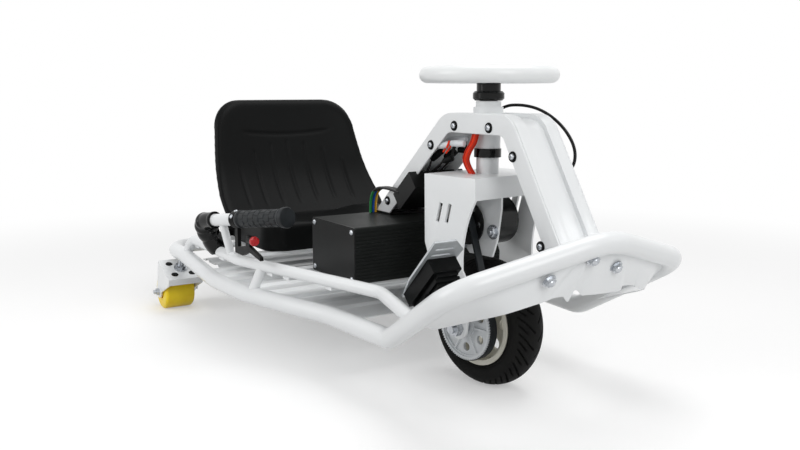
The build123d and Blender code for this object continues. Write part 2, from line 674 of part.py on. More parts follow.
def motor_disc(radius, y_low, y_high):
    """Cylinder on the motor's axis between two places across the kart."""
    return Pos(MOTOR_X, (y_low + y_high) / 2, MOTOR_Z) * Rot(90, 0, 0) * Cylinder(radius, y_high - y_low)


def build_motor():
    body = motor_disc(MOTOR_R, *MOTOR_Y)
    body = chamfer(body.edges().filter_by(GeomType.CIRCLE), CAN_CHAMFER)
    flange = motor_disc(MOTOR_FACE_R, PLATE_Y[1], MOTOR_Y[0])
    shaft = motor_disc(MOTOR_SHAFT_R, PULLEY_Y[0] - 2 * BELT_MARGIN, MOTOR_Y[0])
    pieces["motor"] = steered(body + flange + shaft)
    drive = motor_disc(MOTOR_PULLEY_R, *PULLEY_Y)
    disc = motor_disc(FLANGE_DISC_R, PULLEY_Y[1] + BELT_MARGIN, PULLEY_Y[1] + BELT_MARGIN + FLANGE_DISC_T)
    neck = motor_disc(2 * MOTOR_SHAFT_R, PULLEY_Y[1], PULLEY_Y[1] + BELT_MARGIN)
    pulley = drive + disc + neck - motor_disc(MOTOR_SHAFT_R, -BIG, BIG)
    for index in range(DISC_HOLES):
        angle = radians(360 / DISC_HOLES * index)
        drill = motor_disc(DISC_HOLE_R, -BIG, BIG)
        pulley = pulley - Pos(DISC_HOLE_AT * cos(angle), 0, DISC_HOLE_AT * sin(angle)) * drill
    pieces["motor_pulley"] = steered(pulley)
    # Toothed belt: one fixed loop around both pulleys
    big = PULLEY_R + BELT_GAP
    small = MOTOR_PULLEY_R + COLUMN_FIT
    far_x = MOTOR_X
    far_z = MOTOR_Z - WHEEL_R
    loop_outer = belt_hull(big + BELT_T, small + BELT_T, far_x, far_z)
    loop_inner = belt_hull(big, small, far_x, far_z)
    width = PULLEY_Y[1] - PULLEY_Y[0] - 2 * BELT_MARGIN
    belt = extrude(Plane.XZ * (Pos(0, WHEEL_R) * (loop_outer - loop_inner)), -width)
    pieces["drive_belt"] = steered(Pos(0, PULLEY_Y[0] + BELT_MARGIN, 0) * belt)


def belt_hull(big, small, dx, dz):
    """Face inside an open belt around a circle at the origin and one at (dx, dz)."""
    span = hypot(dx, dz)
    lean = atan2(dz, dx)
    wrap = atan2(sqrt(span**2 - (big - small) ** 2), big - small)
    points = []
    for side in (1, -1):
        angle = lean + side * wrap
        points.append((big * cos(angle), big * sin(angle)))
        points.append((dx + small * cos(angle), dz + small * sin(angle)))
    quad = make_face(Polyline(points[0], points[1], points[3], points[2], close=True))
    return quad + Circle(big) + Pos(dx, dz) * Circle(small)


def build_wheel():
    half = TYRE_W / 2
    with BuildSketch(Plane.XY) as section:
        with BuildLine():
            bead = half - TYRE_BEAD
            heel = (RIM_FLANGE_R + RIM_EASE, half - TYRE_HEEL)
            crown = (WHEEL_R - TYRE_SHOULDER[0], half - TYRE_SHOULDER[1])
            Line((RIM_R, -bead), (RIM_R, bead))
            Line((RIM_R, bead), heel)
            ThreePointArc(heel, (TYRE_FLANK_R, half), crown)
            ThreePointArc(crown, (WHEEL_R, 0), (crown[0], -crown[1]))
            ThreePointArc((crown[0], -crown[1]), (TYRE_FLANK_R, -half), (heel[0], -heel[1]))
            Line((heel[0], -heel[1]), (RIM_R, -bead))
        make_face()
    tyre = revolve(section.sketch, Axis.Y)
    pieces["tyre"] = steered(Pos(0, WHEEL_Y, WHEEL_R) * tyre)
    inside = RIM_R - RIM_WALL
    flange_at = half - TYRE_HEEL + RIM_EASE + RIM_FLANGE_T
    barrel = Rot(90, 0, 0) * (Cylinder(RIM_R, 2 * flange_at) - Cylinder(inside, BIG))
    for side in (-1, 1):
        ring = Cylinder(RIM_FLANGE_R, RIM_FLANGE_T) - Cylinder(inside, BIG)
        barrel = barrel + Pos(0, side * (flange_at - RIM_FLANGE_T / 2), 0) * Rot(90, 0, 0) * ring
    web = Rot(90, 0, 0) * Cylinder(inside + RIM_EASE, RIM_WEB_T)
    hub = Pos(0, sum(HUB_Y) / 2 - WHEEL_Y, 0) * Rot(90, 0, 0) * Cylinder(HUB_R, HUB_Y[1] - HUB_Y[0])
    rim = barrel + web + hub
    rim = rim - Rot(90, 0, 0) * Cylinder(HUB_BORE_R, BIG)
    for index in range(RIM_HOLES):
        drill = Pos(RIM_HOLE_AT, 0, 0) * Rot(90, 0, 0) * Cylinder(RIM_HOLE_R, 4 * RIM_WEB_T)
        rim = rim - Rot(0, 360 / RIM_HOLES * index, 0) * drill
    pieces["wheel_rim"] = steered(Pos(0, WHEEL_Y, WHEEL_R) * rim)
    width = PULLEY_Y[1] - PULLEY_Y[0]
    inside = PULLEY_R - PULLEY_WALL
    wheel = Cylinder(PULLEY_R, width) - Cylinder(inside, BIG)
    disc = Pos(0, 0, PULLEY_WEB_T / 3) * Cylinder(inside + RIM_EASE, PULLEY_WEB_T)
    neck = HUB_Y[0] - PULLEY_Y[1]
    boss = Cylinder(PULLEY_HUB_R, width) + Pos(0, 0, -(width + neck) / 2) * Cylinder(PULLEY_HUB_R, neck)
    pulley = wheel + disc + boss
    rib_l = inside - PULLEY_HUB_R + 2 * RIM_EASE
    rib_t = width / 2 - PULLEY_WEB_T / 2
    step = 360 / PULLEY_RIBS
    for index in range(PULLEY_RIBS):
        rib = Pos((inside + PULLEY_HUB_R) / 2, 0, width / 2 - rib_t / 2) * Box(rib_l, RIM_FLANGE_T * 2, rib_t)
        pulley = pulley + Rot(0, 0, step * index) * rib
        pulley = pulley - Rot(0, 0, step * (index + 0.5)) * (Pos(PULLEY_HOLE_AT, 0, 0) * Cylinder(PULLEY_HOLE_R, BIG))
    pulley = pulley - Cylinder(HUB_BORE_R, BIG)
    pulley = Pos(0, sum(PULLEY_Y) / 2, WHEEL_R) * Rot(90, 0, 0) * pulley
    pieces["wheel_pulley"] = steered(largest(pulley))


def build_battery():
    rear, front = BATTERY_X
    length = 2 * BATTERY_HALF - 2 * END_PLATE_T
    middle = Pos((rear + front) / 2, BAR_TOP_Z + BATTERY_H / 2)
    face = middle * RectangleRounded(front - rear, BATTERY_H, CASE_R)
    pitch = (BATTERY_H - 2 * CASE_MARGIN) / CASE_RIDGES
    for index in range(CASE_RIDGES):
        z = BAR_TOP_Z + CASE_MARGIN + pitch * (index + 0.5)
        for x in (front, rear):
            face = face - Pos(x, z) * Rectangle(2 * RIDGE_DEPTH, pitch / 2)
    case = extrude(Plane.XZ * face, length / 2, both=True)
    pieces["battery_case"] = case
    plate = middle * RectangleRounded(front - rear + 2 * END_PLATE_LAP, BATTERY_H, CASE_R + END_PLATE_LAP)
    ends = []
    for side in (-1, 1):
        y = side * (BATTERY_HALF - END_PLATE_T / 2)
        ends.append(Pos(0, y, 0) * extrude(Plane.XZ * plate, END_PLATE_T / 2, both=True))
    pieces["battery_ends"] = Compound(children=[largest(e) for e in ends])


def build_seat():
    with BuildSketch(Plane.XZ) as profile:
        with BuildLine():
            low = (BACK_LOW[0], SEAT_Z + BACK_LOW[1])
            top = (BACK_TOP[0], BACK_TOP_Z + BACK_TOP[1])
            ThreePointArc(low, BACK_MID, top)
            Line(top, (top[0] + BACK_T, top[1]))
            ThreePointArc((top[0] + BACK_T, top[1]), (BACK_MID[0] + BACK_T, BACK_MID[1]), (low[0] + BACK_T, low[1]))
            Line((low[0] + BACK_T, low[1]), low)
        make_face()
    shell = revolve(profile.sketch, Axis.Z, 360)
    shell = Pos(BACK_AXIS_X, 0, 0) * shell
    outline = Plane.YZ * make_face(
        Polyline(
            (-BACK_HALF, SEAT_Z + BACK_LOW[1]),
            (-BACK_HALF, BACK_SIDE_Z),
            (-BACK_TOP_HALF, BACK_TOP_Z),
            (BACK_TOP_HALF, BACK_TOP_Z),
            (BACK_HALF, BACK_SIDE_Z),
            (BACK_HALF, SEAT_Z + BACK_LOW[1]),
            close=True,
        )
    )
    slab = extrude(outline, BACK_AXIS_X - BACK_TOP[0] - 2 * BACK_T)
    corners = slab.edges().filter_by(Axis.X).group_by(Axis.Z)[-1]
    slab = fillet(corners, BACK_CORNER_R)
    slab = slab & Pos(BACK_AXIS_X - BIG - BACK_TOP_HALF, 0, 0) * Box(2 * BIG, 4 * BIG, 4 * BIG)
    back = largest(shell & slab)
    length = SEAT_FRONT_X - SEAT_REAR_X
    base = Pos(SEAT_FRONT_X - length / 2, 0, (SEAT_Z + SEAT_LIP_Z) / 2) * Box(length, 2 * SEAT_HALF, SEAT_LIP_Z - SEAT_Z)
    base = fillet(base.edges().filter_by(Axis.Z).group_by(Axis.X)[-1], SEAT_CORNER_R)
    base = fillet(base.edges().group_by(Axis.Z)[-1], SEAT_LIP_R)
    dish = Pos(DISH_X, 0, SEAT_LIP_Z + DISH_R - DISH_DEPTH) * Sphere(DISH_R)
    base = base - dish
    pieces["seat_shell"] = largest(base + back)


def build_caster(side, name):
    """Folded yoke, swivel bolt and roller under one rear corner; side is -1 on the right."""
    lean = radians(CASTER_TILT)
    axis = Vector(sin(lean), 0, cos(lean))
    top = Vector(CASTER_X, side * CASTER_Y, CASTER_Z)
    plate_frame = Plane(top, x_dir=(cos(lean), 0, -sin(lean)), z_dir=axis)
    half = ROLLER_W / 2 + YOKE_SIDE_GAP + YOKE_T
    mid = sum(YOKE_PLATE) / 2
    length = YOKE_PLATE[1] - YOKE_PLATE[0]
    plate = plate_frame * (Pos(mid, 0, -YOKE_T / 2) * Box(length, 2 * half, YOKE_T))
    fold = plate_frame * (Pos(YOKE_PLATE[1] - YOKE_T / 2, 0, -YOKE_FOLD_H / 2) * Box(YOKE_T, 2 * half, YOKE_FOLD_H))
    start = plate_frame.origin + plate_frame.x_dir * YOKE_PLATE[0]
    end = plate_frame.origin + plate_frame.x_dir * YOKE_PLATE[1]
    hub = (ROLLER_X, ROLLER_R)
    cheek = make_face(
        Polyline(
            (start.X, start.Z),
            (end.X, end.Z),
            (end.X - YOKE_FOLD_H / 2, end.Z - YOKE_FOLD_H),
            (hub[0] + YOKE_EAR_R, hub[1]),
            (hub[0] - YOKE_EAR_R, hub[1]),
            close=True,
        )
    )
    cheek = cheek + Pos(*hub) * Circle(YOKE_EAR_R)
    sides = None
    for edge in (-1, 1):
        y = side * CASTER_Y + edge * (half - YOKE_T / 2)
        solid = Pos(0, y, 0) * extrude(Plane.XZ * cheek, YOKE_T / 2, both=True)
        sides = solid if sides is None else sides + solid
    yoke = plate + fold + sides
    drill = Pos(ROLLER_X, side * CASTER_Y, ROLLER_R) * Rot(90, 0, 0) * Cylinder(ROLLER_AXLE_R, BIG)
    yoke = yoke - drill
    hole_x, hole_y, hole_r = YOKE_HOLE
    for dx in (-hole_x, hole_x):
        for dy in (-hole_y, hole_y):
            yoke = yoke - plate_frame * (Pos(dx, dy, 0) * Cylinder(hole_r, 4 * YOKE_T))
    yoke = yoke - Plane(top, z_dir=axis) * Cylinder(SWIVEL_R + SWIVEL_FIT, 4 * YOKE_T)
    pieces["caster_yoke_" + name] = largest(yoke)
    head_r, head_t = AXLE_HEAD
    axle = Pos(ROLLER_X, side * CASTER_Y, ROLLER_R) * Rot(90, 0, 0) * Cylinder(ROLLER_AXLE_R, 2 * (half + head_t + AXLE_TAIL))
    for edge in (-1, 1):
        y = side * CASTER_Y + edge * (half + head_t / 2)
        hexagon = extrude(RegularPolygon(head_r, 6), head_t / 2, both=True)
        axle = axle + Pos(ROLLER_X, y, ROLLER_R) * Rot(90, 0, 0) * hexagon
    pieces["caster_axle_" + name] = axle
    roller = Cylinder(ROLLER_R, ROLLER_W)
    roller = fillet(roller.edges().filter_by(GeomType.CIRCLE), ROLLER_EDGE_R)
    roller = roller - Cylinder(ROLLER_AXLE_R + SWIVEL_FIT, BIG)
    face_in, face_out, sunk = ROLLER_FACE
    for edge in (-1, 1):
        groove = Cylinder(face_out, 2 * sunk) - Cylinder(face_in, 2 * sunk)
        roller = roller - Pos(0, 0, edge * ROLLER_W / 2) * groove
    pieces["caster_roller_" + name] = Pos(ROLLER_X, side * CASTER_Y, ROLLER_R) * Rot(90, 0, 0) * roller
    # Swivel bolt that hangs from the frame, with its nut and bearing ring on the plate
    pin = Plane(top, z_dir=axis)
    ring = pin * (Pos(0, 0, RING_H / 2 + SWIVEL_GAP) * Cylinder(RING_R, RING_H))
    nut = pin * Pos(0, 0, RING_H + SWIVEL_GAP) * extrude(RegularPolygon(NUT_R, 6), NUT_H)
    stud = pin * (Pos(0, 0, (STUD_TOP - STUD_LOW) / 2) * Cylinder(SWIVEL_R, STUD_TOP + STUD_LOW))
    head = pin * (Pos(0, 0, -YOKE_T - SWIVEL_GAP - NUT_H / 2) * Cylinder(NUT_R, NUT_H))
    member = pieces["frame_side_right"] if side < 0 else pieces["frame_side_left"]
    return largest(ring + nut + stud + head - member)


def build_lever():
    """Drift lever: bar, grip, elbow at its rear end, post on the rail, bracket with its switch."""
    rail = min(pieces["side_rails"].solids(), key=lambda s: s.center().Y)
    grip_start = along(LEVER_REAR, LEVER_END, GRIP_SHARE)
    bar = rod(LEVER_REAR, LEVER_END, LEVER_R)
    post_top = along(LEVER_REAR, LEVER_END, POST_SHARE)
    post_foot = (post_top[0] + POST_LEAN, -rail_y(post_top[0]), RAIL_Z)
    post = rod(post_top, post_foot, POST_R)
    pieces["lever_tube"] = largest(bar + post - rail)
    grip = rod(grip_start, LEVER_END, GRIP_R) - bar
    cap = rod(LEVER_END, along(LEVER_REAR, LEVER_END, CAP_SHARE), GRIP_END_R)
    pieces["lever_grip"] = largest(grip + cap)
    heel = along(LEVER_REAR, LEVER_END, -ELBOW_SHARE)
    floor = (heel[0], -rail_y(heel[0]) + ELBOW_IN, RAIL_Z)
    elbow = bent_tube([along(LEVER_REAR, LEVER_END, ELBOW_LAP), heel, floor], [ELBOW_BEND], ELBOW_R)
    pieces["lever_elbow"] = largest(elbow - bar - rail - post)
    hang = along(LEVER_REAR, LEVER_END, HANG_SHARE)
    side = make_face(
        Polyline(
            (hang[0] - STRAP_HALF, hang[2]),
            *[(hang[0] + dx, STRAP_FOOT_Z + dz) for dx, dz in STRAP_OUTLINE],
            (hang[0] + STRAP_HALF, hang[2]),
            close=True,
        )
    )
    strap = Pos(0, hang[1], 0) * extrude(Plane.XZ * side, STRAP_T / 2, both=True)
    wall, reach = STRAP_RING
    ring_ends = [along(LEVER_REAR, LEVER_END, HANG_SHARE + way * reach) for way in (-1, 1)]
    ring = rod(ring_ends[0], ring_ends[1], LEVER_R + wall)
    spot = (hang[0] + SWITCH_AT[0], hang[1], STRAP_FOOT_Z + SWITCH_AT[1])
    switch = rod(spot, (spot[0] + SWITCH_L, spot[1], spot[2]), SWITCH_R)
    pieces["lever_bracket"] = largest(strap + ring + switch - bar)


def build_nose_pan():
    """Pressed sheet that hangs from the hoop in front of the wheel."""
    shoulder = (SHOULDER_X, -SHOULDER_Y, MEMBER_Z)
    corner = (NOSE_CORNER[0], -NOSE_CORNER[1], NOSE_CORNER[2])
    tip = (NOSE_TIP_X, 0, NOSE_TIP_Z)
    rim = [along(shoulder, corner, share) for share in PAN_LEG_SHARES]
    rim = rim + [along(corner, tip, share) for share in PAN_FRONT_SHARES]
    rim = rim + [(NOSE_TIP_X - PAN_TIP_IN, 0, NOSE_TIP_Z)]
    edge = list(PAN_EDGE) + [PAN_MID]
    press = Vector(-NOSE_RISE, 0, 1).normalized()
    blanks = []
    for index in range(len(edge) - 1):
        quad = (rim[index], rim[index + 1], edge[index + 1], edge[index])
        for trio in ((quad[0], quad[1], quad[2]), (quad[0], quad[2], quad[3])):
            face = Face(Wire.make_polygon([Vector(*p) for p in trio], close=True))
            blanks.append(extrude(face, amount=PAN_T, dir=press))
    half = blanks[0].fuse(*blanks[1:])
    whole = half.fuse(mirror(half, about=Plane.XZ)).clean()
    pieces["nose_pan"] = largest(whole - pieces["front_hoop"])


def build_pedal():
    """Foot pedal on the right: a sloping plate over a ribbed body, on a post from the hoop."""
    base = Plane(origin=(PEDAL_HEEL[0], PEDAL_Y, PEDAL_HEEL[1]), x_dir=(1, 0, 1), z_dir=(-1, 0, 1))
    half = PEDAL_W / 2
    outline = make_face(
        Polyline(
            (0, -half + PEDAL_HEEL_IN),
            (PEDAL_L / 3, -half),
            (PEDAL_L, -half),
            (PEDAL_L, half - PEDAL_CORNER),
            (PEDAL_L - PEDAL_CORNER, half),
            (0, half - PEDAL_HEEL_IN),
            close=True,
        )
    )
    plate = base * extrude(outline, PEDAL_T)
    first, pitch, slot_w, slot_l = PEDAL_SLOTS
    for index in range(PEDAL_SLOT_COUNT):
        slot = Pos(PEDAL_L - first - pitch * index, -PEDAL_HEEL_IN / 2, 0) * Box(slot_w, slot_l, 4 * PEDAL_T)
        plate = plate - base * slot
    pieces["pedal_plate"] = plate
    rear, front, depth = PEDAL_BLOCK
    length = front - rear
    block = Pos((rear + front) / 2, 0, -depth / 2) * Box(length, PEDAL_W - PEDAL_BODY_IN, depth)
    for index in range(BELLOWS):
        shrink = BELLOWS_T * (index + 1)
        width = PEDAL_W - PEDAL_BODY_IN * (1.5 if index % 2 else 2)
        fold = Box(length - shrink, width, BELLOWS_T)
        block = block + Pos((rear + front - shrink / 2) / 2, 0, -depth - BELLOWS_T * (index + 0.5)) * fold
    body = base * block
    rails = sorted(pieces["side_rails"].solids(), key=lambda s: s.center().Y)
    shoulder = (SHOULDER_X, -SHOULDER_Y, MEMBER_Z)
    corner = (NOSE_CORNER[0], -NOSE_CORNER[1], NOSE_CORNER[2])
    post = rod(base.from_local_coords((PEDAL_L / 3, 0, -depth)), along(shoulder, corner, PEDAL_POST_SHARE), PEDAL_POST_R)
    pieces["pedal_body"] = largest(body + post - pieces["front_hoop"] - pieces["nose_pan"] - rails[0])


def build_controller():
    """Black housing across the tower's rear legs, with its leads to the battery."""
    slope = degrees(atan2(TOWER_REAR_SLOPE, 1))
    box = Pos(CONTROLLER_X, 0, CONTROLLER_Z) * Rot(0, -slope, 0) * Box(CONTROLLER_L, CONTROLLER_W, CONTROLLER_H)
    for plate in pieces["tower_sides"].solids():
        box = box - plate
    box = box - pieces["tower_skin"]
    pieces["controller_box"] = largest(box)
    leads = []
    near_y = -TOWER_W / 2 - LEAD_R - LEAD_CLEAR
    for index in reversed(range(LEAD_COUNT)):
        line = [(x, near_y - LEAD_PITCH * index, z) for x, z in BATTERY_LEAD]
        leads.append(largest(bent_tube(line, BATTERY_LEAD_BENDS, LEAD_R) - pieces["controller_box"]))
    pieces["battery_leads"] = Compound(children=leads)


def build_cables():
    cable = bent_tube(CABLE_PATH, CABLE_BENDS, CABLE_R)
    for plate in pieces["tower_sides"].solids() + pieces["tower_skin"].solids():
        cable = cable - plate
    pieces["head_cable"] = largest(cable)
    leads = []
    for dx, dy in MOTOR_LEAD_STEP:
        line = [(x + dx, y + dy, z) for x, y, z in MOTOR_LEAD]
        leads.append(largest(steered(bent_tube(line, MOTOR_LEAD_BENDS, LEAD_R)) - pieces["fork"]))
    pieces["motor_leads"] = Compound(children=leads)


def build():
    build_frame()
    build_floor()
    build_bars()
    build_tower()
    build_head()
    build_steering()
    build_fork()
    build_motor()
    build_wheel()
    build_battery()
    build_seat()
    pieces["swivel_bolts"] = Compound(children=[build_caster(-1, "right"), build_caster(1, "left")])
    build_lever()
    build_nose_pan()
    build_pedal()
    build_controller()
    build_cables()


def write():
    os.makedirs("parts", exist_ok=True)
    for node, shape in pieces.items():
        export_step(Pos(-CENTRE_X, 0, 0) * shape, "parts/" + node + ".step")


build()
write()
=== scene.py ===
import json
import math

import bmesh
import bpy
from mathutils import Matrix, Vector


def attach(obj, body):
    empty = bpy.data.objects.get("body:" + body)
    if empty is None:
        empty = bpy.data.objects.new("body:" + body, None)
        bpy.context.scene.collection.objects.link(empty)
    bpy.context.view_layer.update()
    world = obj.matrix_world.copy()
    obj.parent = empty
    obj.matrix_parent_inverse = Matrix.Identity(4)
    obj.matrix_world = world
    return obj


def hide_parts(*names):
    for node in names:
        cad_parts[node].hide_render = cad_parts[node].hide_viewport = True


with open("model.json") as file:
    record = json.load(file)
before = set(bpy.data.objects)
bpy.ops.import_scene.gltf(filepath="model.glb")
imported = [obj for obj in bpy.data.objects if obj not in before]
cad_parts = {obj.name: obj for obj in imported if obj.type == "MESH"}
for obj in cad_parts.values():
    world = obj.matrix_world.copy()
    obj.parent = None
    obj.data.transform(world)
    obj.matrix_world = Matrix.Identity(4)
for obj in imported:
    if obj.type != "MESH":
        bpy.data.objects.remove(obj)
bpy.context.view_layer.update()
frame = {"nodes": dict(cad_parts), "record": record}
scene = bpy.context.scene

# Electric drift kart in a white studio. Places are given in millimetres from the point where the
# steering axis meets the ground, +X forward and +Y to the driver's left; at() turns them to metres
# in the frame, whose origin is the middle of the kart.
STEER_X = 312.5
STEER_REST = math.radians(8.4)
MM = 0.001


def at(x, y, z):
    return Vector((x + STEER_X, y, z)) * MM


def steered(x, y, z):
    """A place on the fork, turned with it to the left as the kart is parked."""
    cos, sin = math.cos(STEER_REST), math.sin(STEER_REST)
    return at(x * cos - y * sin, x * sin + y * cos, z)


# Camera

PHOTO_WIDTH = 800
FOCAL_PX = 844.2
EYE = Vector((1.5962, -1.0064, 0.5808))
GAZE = Vector((-0.8357, 0.5257, -0.1585))
SENSOR_MM = 36


def set_camera():
    lens = bpy.data.cameras.new("photo_lens")
    lens.sensor_width = SENSOR_MM
    lens.lens = SENSOR_MM * FOCAL_PX / PHOTO_WIDTH
    camera = bpy.data.objects.new("photo_camera", lens)
    camera.location = EYE
    camera.rotation_euler = GAZE.to_track_quat("-Z", "Y").to_euler()
    scene.collection.objects.link(camera)
    scene.camera = camera


# Materials


def linear(hex_value, alpha=1.0):
    """An sRGB hex colour in linear values."""
    parts = [int(hex_value[i : i + 2], 16) / 255 for i in (1, 3, 5)]
    parts = [c / 12.92 if c <= 0.04045 else ((c + 0.055) / 1.055) ** 2.4 for c in parts]
    return (*parts, alpha)


def add(tree, kind, settings=None, **links):
    """Adds a node. Settings are its own fields or its sockets' values; a link names an input socket
    and gives the output that feeds it."""
    node = tree.nodes.new(kind)
    for key, value in (settings or {}).items():
        if hasattr(node, key):
            setattr(node, key, value)
        else:
            node.inputs[key].default_value = value
    for key, output in links.items():
        tree.links.new(output, node.inputs[key.replace("_", " ")])
    return node


def new_material(name):
    material = bpy.data.materials.new(name)
    material.use_nodes = True
    material.node_tree.nodes.clear()
    return material, material.node_tree


RELIEF_DEPTH = 0.0004    # metres


def surface(name, base, second, mottle_mm, grain_mm, bump, rough, **shader):
    """A finish with two close shades that drift over mottle_mm and a relief of grain_mm.
    rough is the lowest and highest roughness, which drift with the shade."""
    material, tree = new_material(name)
    place = add(tree, "ShaderNodeTexCoord").outputs["Object"]
    mottle = {"Scale": 1 / (mottle_mm * MM), "Detail": 4.0}
    grain = {"Scale": 1 / (grain_mm * MM), "Detail": 3.0}
    drift = add(tree, "ShaderNodeTexNoise", mottle, Vector=place)
    relief = add(tree, "ShaderNodeTexNoise", grain, Vector=place)
    shade = add(tree, "ShaderNodeValToRGB", Fac=drift.outputs["Fac"])
    shade.color_ramp.elements[0].position = 0.35
    shade.color_ramp.elements[0].color = linear(base)
    shade.color_ramp.elements[1].position = 0.75
    shade.color_ramp.elements[1].color = linear(second)
    gloss = add(
        tree,
        "ShaderNodeMapRange",
        {"From Min": 0.3, "From Max": 0.7, "To Min": rough[0], "To Max": rough[1]},
        Value=drift.outputs["Fac"],
    )
    depth = {"Strength": bump, "Distance": RELIEF_DEPTH}
    height = add(tree, "ShaderNodeBump", depth, Height=relief.outputs["Fac"])
    body = add(
        tree,
        "ShaderNodeBsdfPrincipled",
        shader,
        Base_Color=shade.outputs["Color"],
        Roughness=gloss.outputs["Result"],
        Normal=height.outputs["Normal"],
    )
    add(tree, "ShaderNodeOutputMaterial", Surface=body.outputs["BSDF"])
    return material


# Powder coat on steel: baked polyester, which leaves a faint orange peel and a broad soft shine.
POWDER_COAT = surface(
    "powder_coat_white", "#EBEDEE", "#E7E9EA", 140, 2.2, 0.06, (0.28, 0.31), **{"Coat Weight": 0.15}
)
# Dipped coat on the steering wheel's rim: thicker and rounder than the powder coat.
DIPPED_RIM = surface("dipped_white_vinyl", "#EDEFEF", "#E9EBEC", 90, 1.6, 0.06, (0.30, 0.34))
# What is black here reflects less than bare plastic or steel would in this all-white room: dust and
# a fine grain take the mirror part away.
DULL = {"Specular IOR Level": 0.07}
SHEEN = {"Specular IOR Level": 0.16}
GLOSS = {"Specular IOR Level": 0.24}
# Satin enamel on sheet steel: nearly black, with a soft window reflection.
BLACK_ENAMEL = surface("satin_black_enamel", "#0E0F0F", "#131414", 60, 1.2, 0.12, (0.32, 0.40), **SHEEN)
# Anodised aluminium of the battery housing: black, fine grain, a little lighter where it is rubbed.
BLACK_ANODISED = surface(
    "black_anodised_aluminium", "#1B1D1C", "#222423", 90, 0.8, 0.10, (0.40, 0.48), **DULL
)
# Blow-moulded polyethylene: matt black with an even leather-like grain.
SEAT_PLASTIC = surface(
    "moulded_polyethylene_black", "#0B0C0C", "#101111", 160, 1.4, 0.30, (0.36, 0.44), **DULL
)
# Glass-filled nylon of clamps and brackets.
BLACK_NYLON = surface("black_nylon", "#0E0F0F", "#141515", 25, 0.9, 0.20, (0.34, 0.46), **DULL)
# Moulded EPDM of the grip and the elbow: deep black; the elbow is wiped to a shine.
GRIP_RUBBER = surface("grip_rubber", "#181B1D", "#212528", 20, 1.0, 0.30, (0.42, 0.52), **GLOSS)
ELBOW_RUBBER = surface("polished_rubber_boot", "#060707", "#090A0A", 30, 2.0, 0.05, (0.10, 0.16), **GLOSS)
# Tyre tread compound: carbon black with a trace of dust.
TYRE_RUBBER = surface("tyre_rubber", "#151515", "#1D1D1C", 30, 1.1, 0.35, (0.55, 0.70), **DULL)
# Zinc-plated steel, bright with a blue passivation.
ZINC = surface("bright_zinc_plate", "#BFC2C6", "#A9ADB2", 12, 0.8, 0.10, (0.22, 0.36), Metallic=1.0)
# Cast polyurethane: satin yellow that light enters a little.
URETHANE = surface(
    "cast_urethane_yellow", "#FBDB12", "#F4D00E", 30, 1.6, 0.15, (0.34, 0.46), **{"Subsurface Weight": 0.08}
)
# Injection-moulded nylon, natural light grey.
NYLON_GREY = surface("natural_nylon", "#D3D6D8", "#C6CACD", 24, 1.2, 0.15, (0.30, 0.42))
# Cream enamel on the pressed steel rim.
RIM_ENAMEL = surface("cream_enamel", "#E6E3D6", "#DBD8CA", 30, 1.5, 0.10, (0.26, 0.36))
# Brushed aluminium plate.
ALUMINIUM = surface("brushed_aluminium", "#8C9092", "#767A7C", 14, 0.7, 0.20, (0.34, 0.46), Metallic=1.0)
# Glossy red acetal of the button.
BUTTON_RED = surface("acetal_red", "#C01018", "#A80D14", 12, 0.8, 0.05, (0.22, 0.30))
# Turned aluminium of the column's clamps, anodised and polished black.
POLISHED_BLACK = surface(
    "polished_black_anodising", "#050606", "#080909", 40, 0.8, 0.04, (0.12, 0.18), **GLOSS
)
# Motor can: black electrophoretic paint, smooth enough to show the lamps as streaks.
MOTOR_PAINT = surface("motor_can_paint", "#080909", "#0C0D0D", 40, 0.8, 0.05, (0.20, 0.28), **GLOSS)
# Pedal plate: natural anodised aluminium, pale and satin.
PEDAL_METAL = surface(
    "natural_anodised_aluminium", "#C4C8CB", "#B4B9BC", 20, 0.7, 0.12, (0.32, 0.42), Metallic=0.45
)
# Heat-shrink sleeve of white polyolefin.
SLEEVE = surface("white_polyolefin_sleeve", "#E2E5E8", "#D4D8DC", 14, 1.0, 0.20, (0.36, 0.50))
# Cable sheath of soft black vinyl, and silicone insulation in orange red. The darker red copy of the
# silicone is painted shade between the motor's leads.
SHEATH = surface("cable_sheath_vinyl", "#0D0D0D", "#131313", 20, 0.8, 0.12, (0.30, 0.40), **SHEEN)
SILICONE = surface("silicone_lead_orange", "#EC3A10", "#DE320C", 15, 0.8, 0.08, (0.30, 0.40), **SHEEN)
SILICONE_PAINTED_SHADE = surface("silicone_lead_painted_shade", "#B92406", "#AA2005", 15, 0.8, 0.08, (0.30, 0.40), **SHEEN)

SLEEVE_END = 0.358       # metres above the ground
SLEEVE_BLACK = "#0D0D0D"
LEAD_CORES = ("#1E7A3A", "#1C4FA8", "#D9A514")


def sleeved_lead(name, core):
    """A lead in a black sleeve down to SLEEVE_END, its own colour below that."""
    material, tree = new_material(name)
    place = add(tree, "ShaderNodeTexCoord").outputs["Object"]
    height = add(tree, "ShaderNodeSeparateXYZ", Vector=place)
    below = add(tree, "ShaderNodeMath", {"operation": "LESS_THAN"})
    tree.links.new(height.outputs["Z"], below.inputs[0])
    below.inputs[1].default_value = SLEEVE_END
    shade = add(tree, "ShaderNodeMix", {"data_type": "RGBA"}, Factor=below.outputs[0])
    for socket, value in (("A", SLEEVE_BLACK), ("B", core)):
        for entry in shade.inputs:
            if entry.name == socket and entry.type == "RGBA":
                entry.default_value = linear(value)
    colour = [out for out in shade.outputs if out.type == "RGBA"][0]
    settings = {"Roughness": 0.36, "Specular IOR Level": 0.3}
    body = add(tree, "ShaderNodeBsdfPrincipled", settings, Base_Color=colour)
    add(tree, "ShaderNodeOutputMaterial", Surface=body.outputs["BSDF"])
    return material


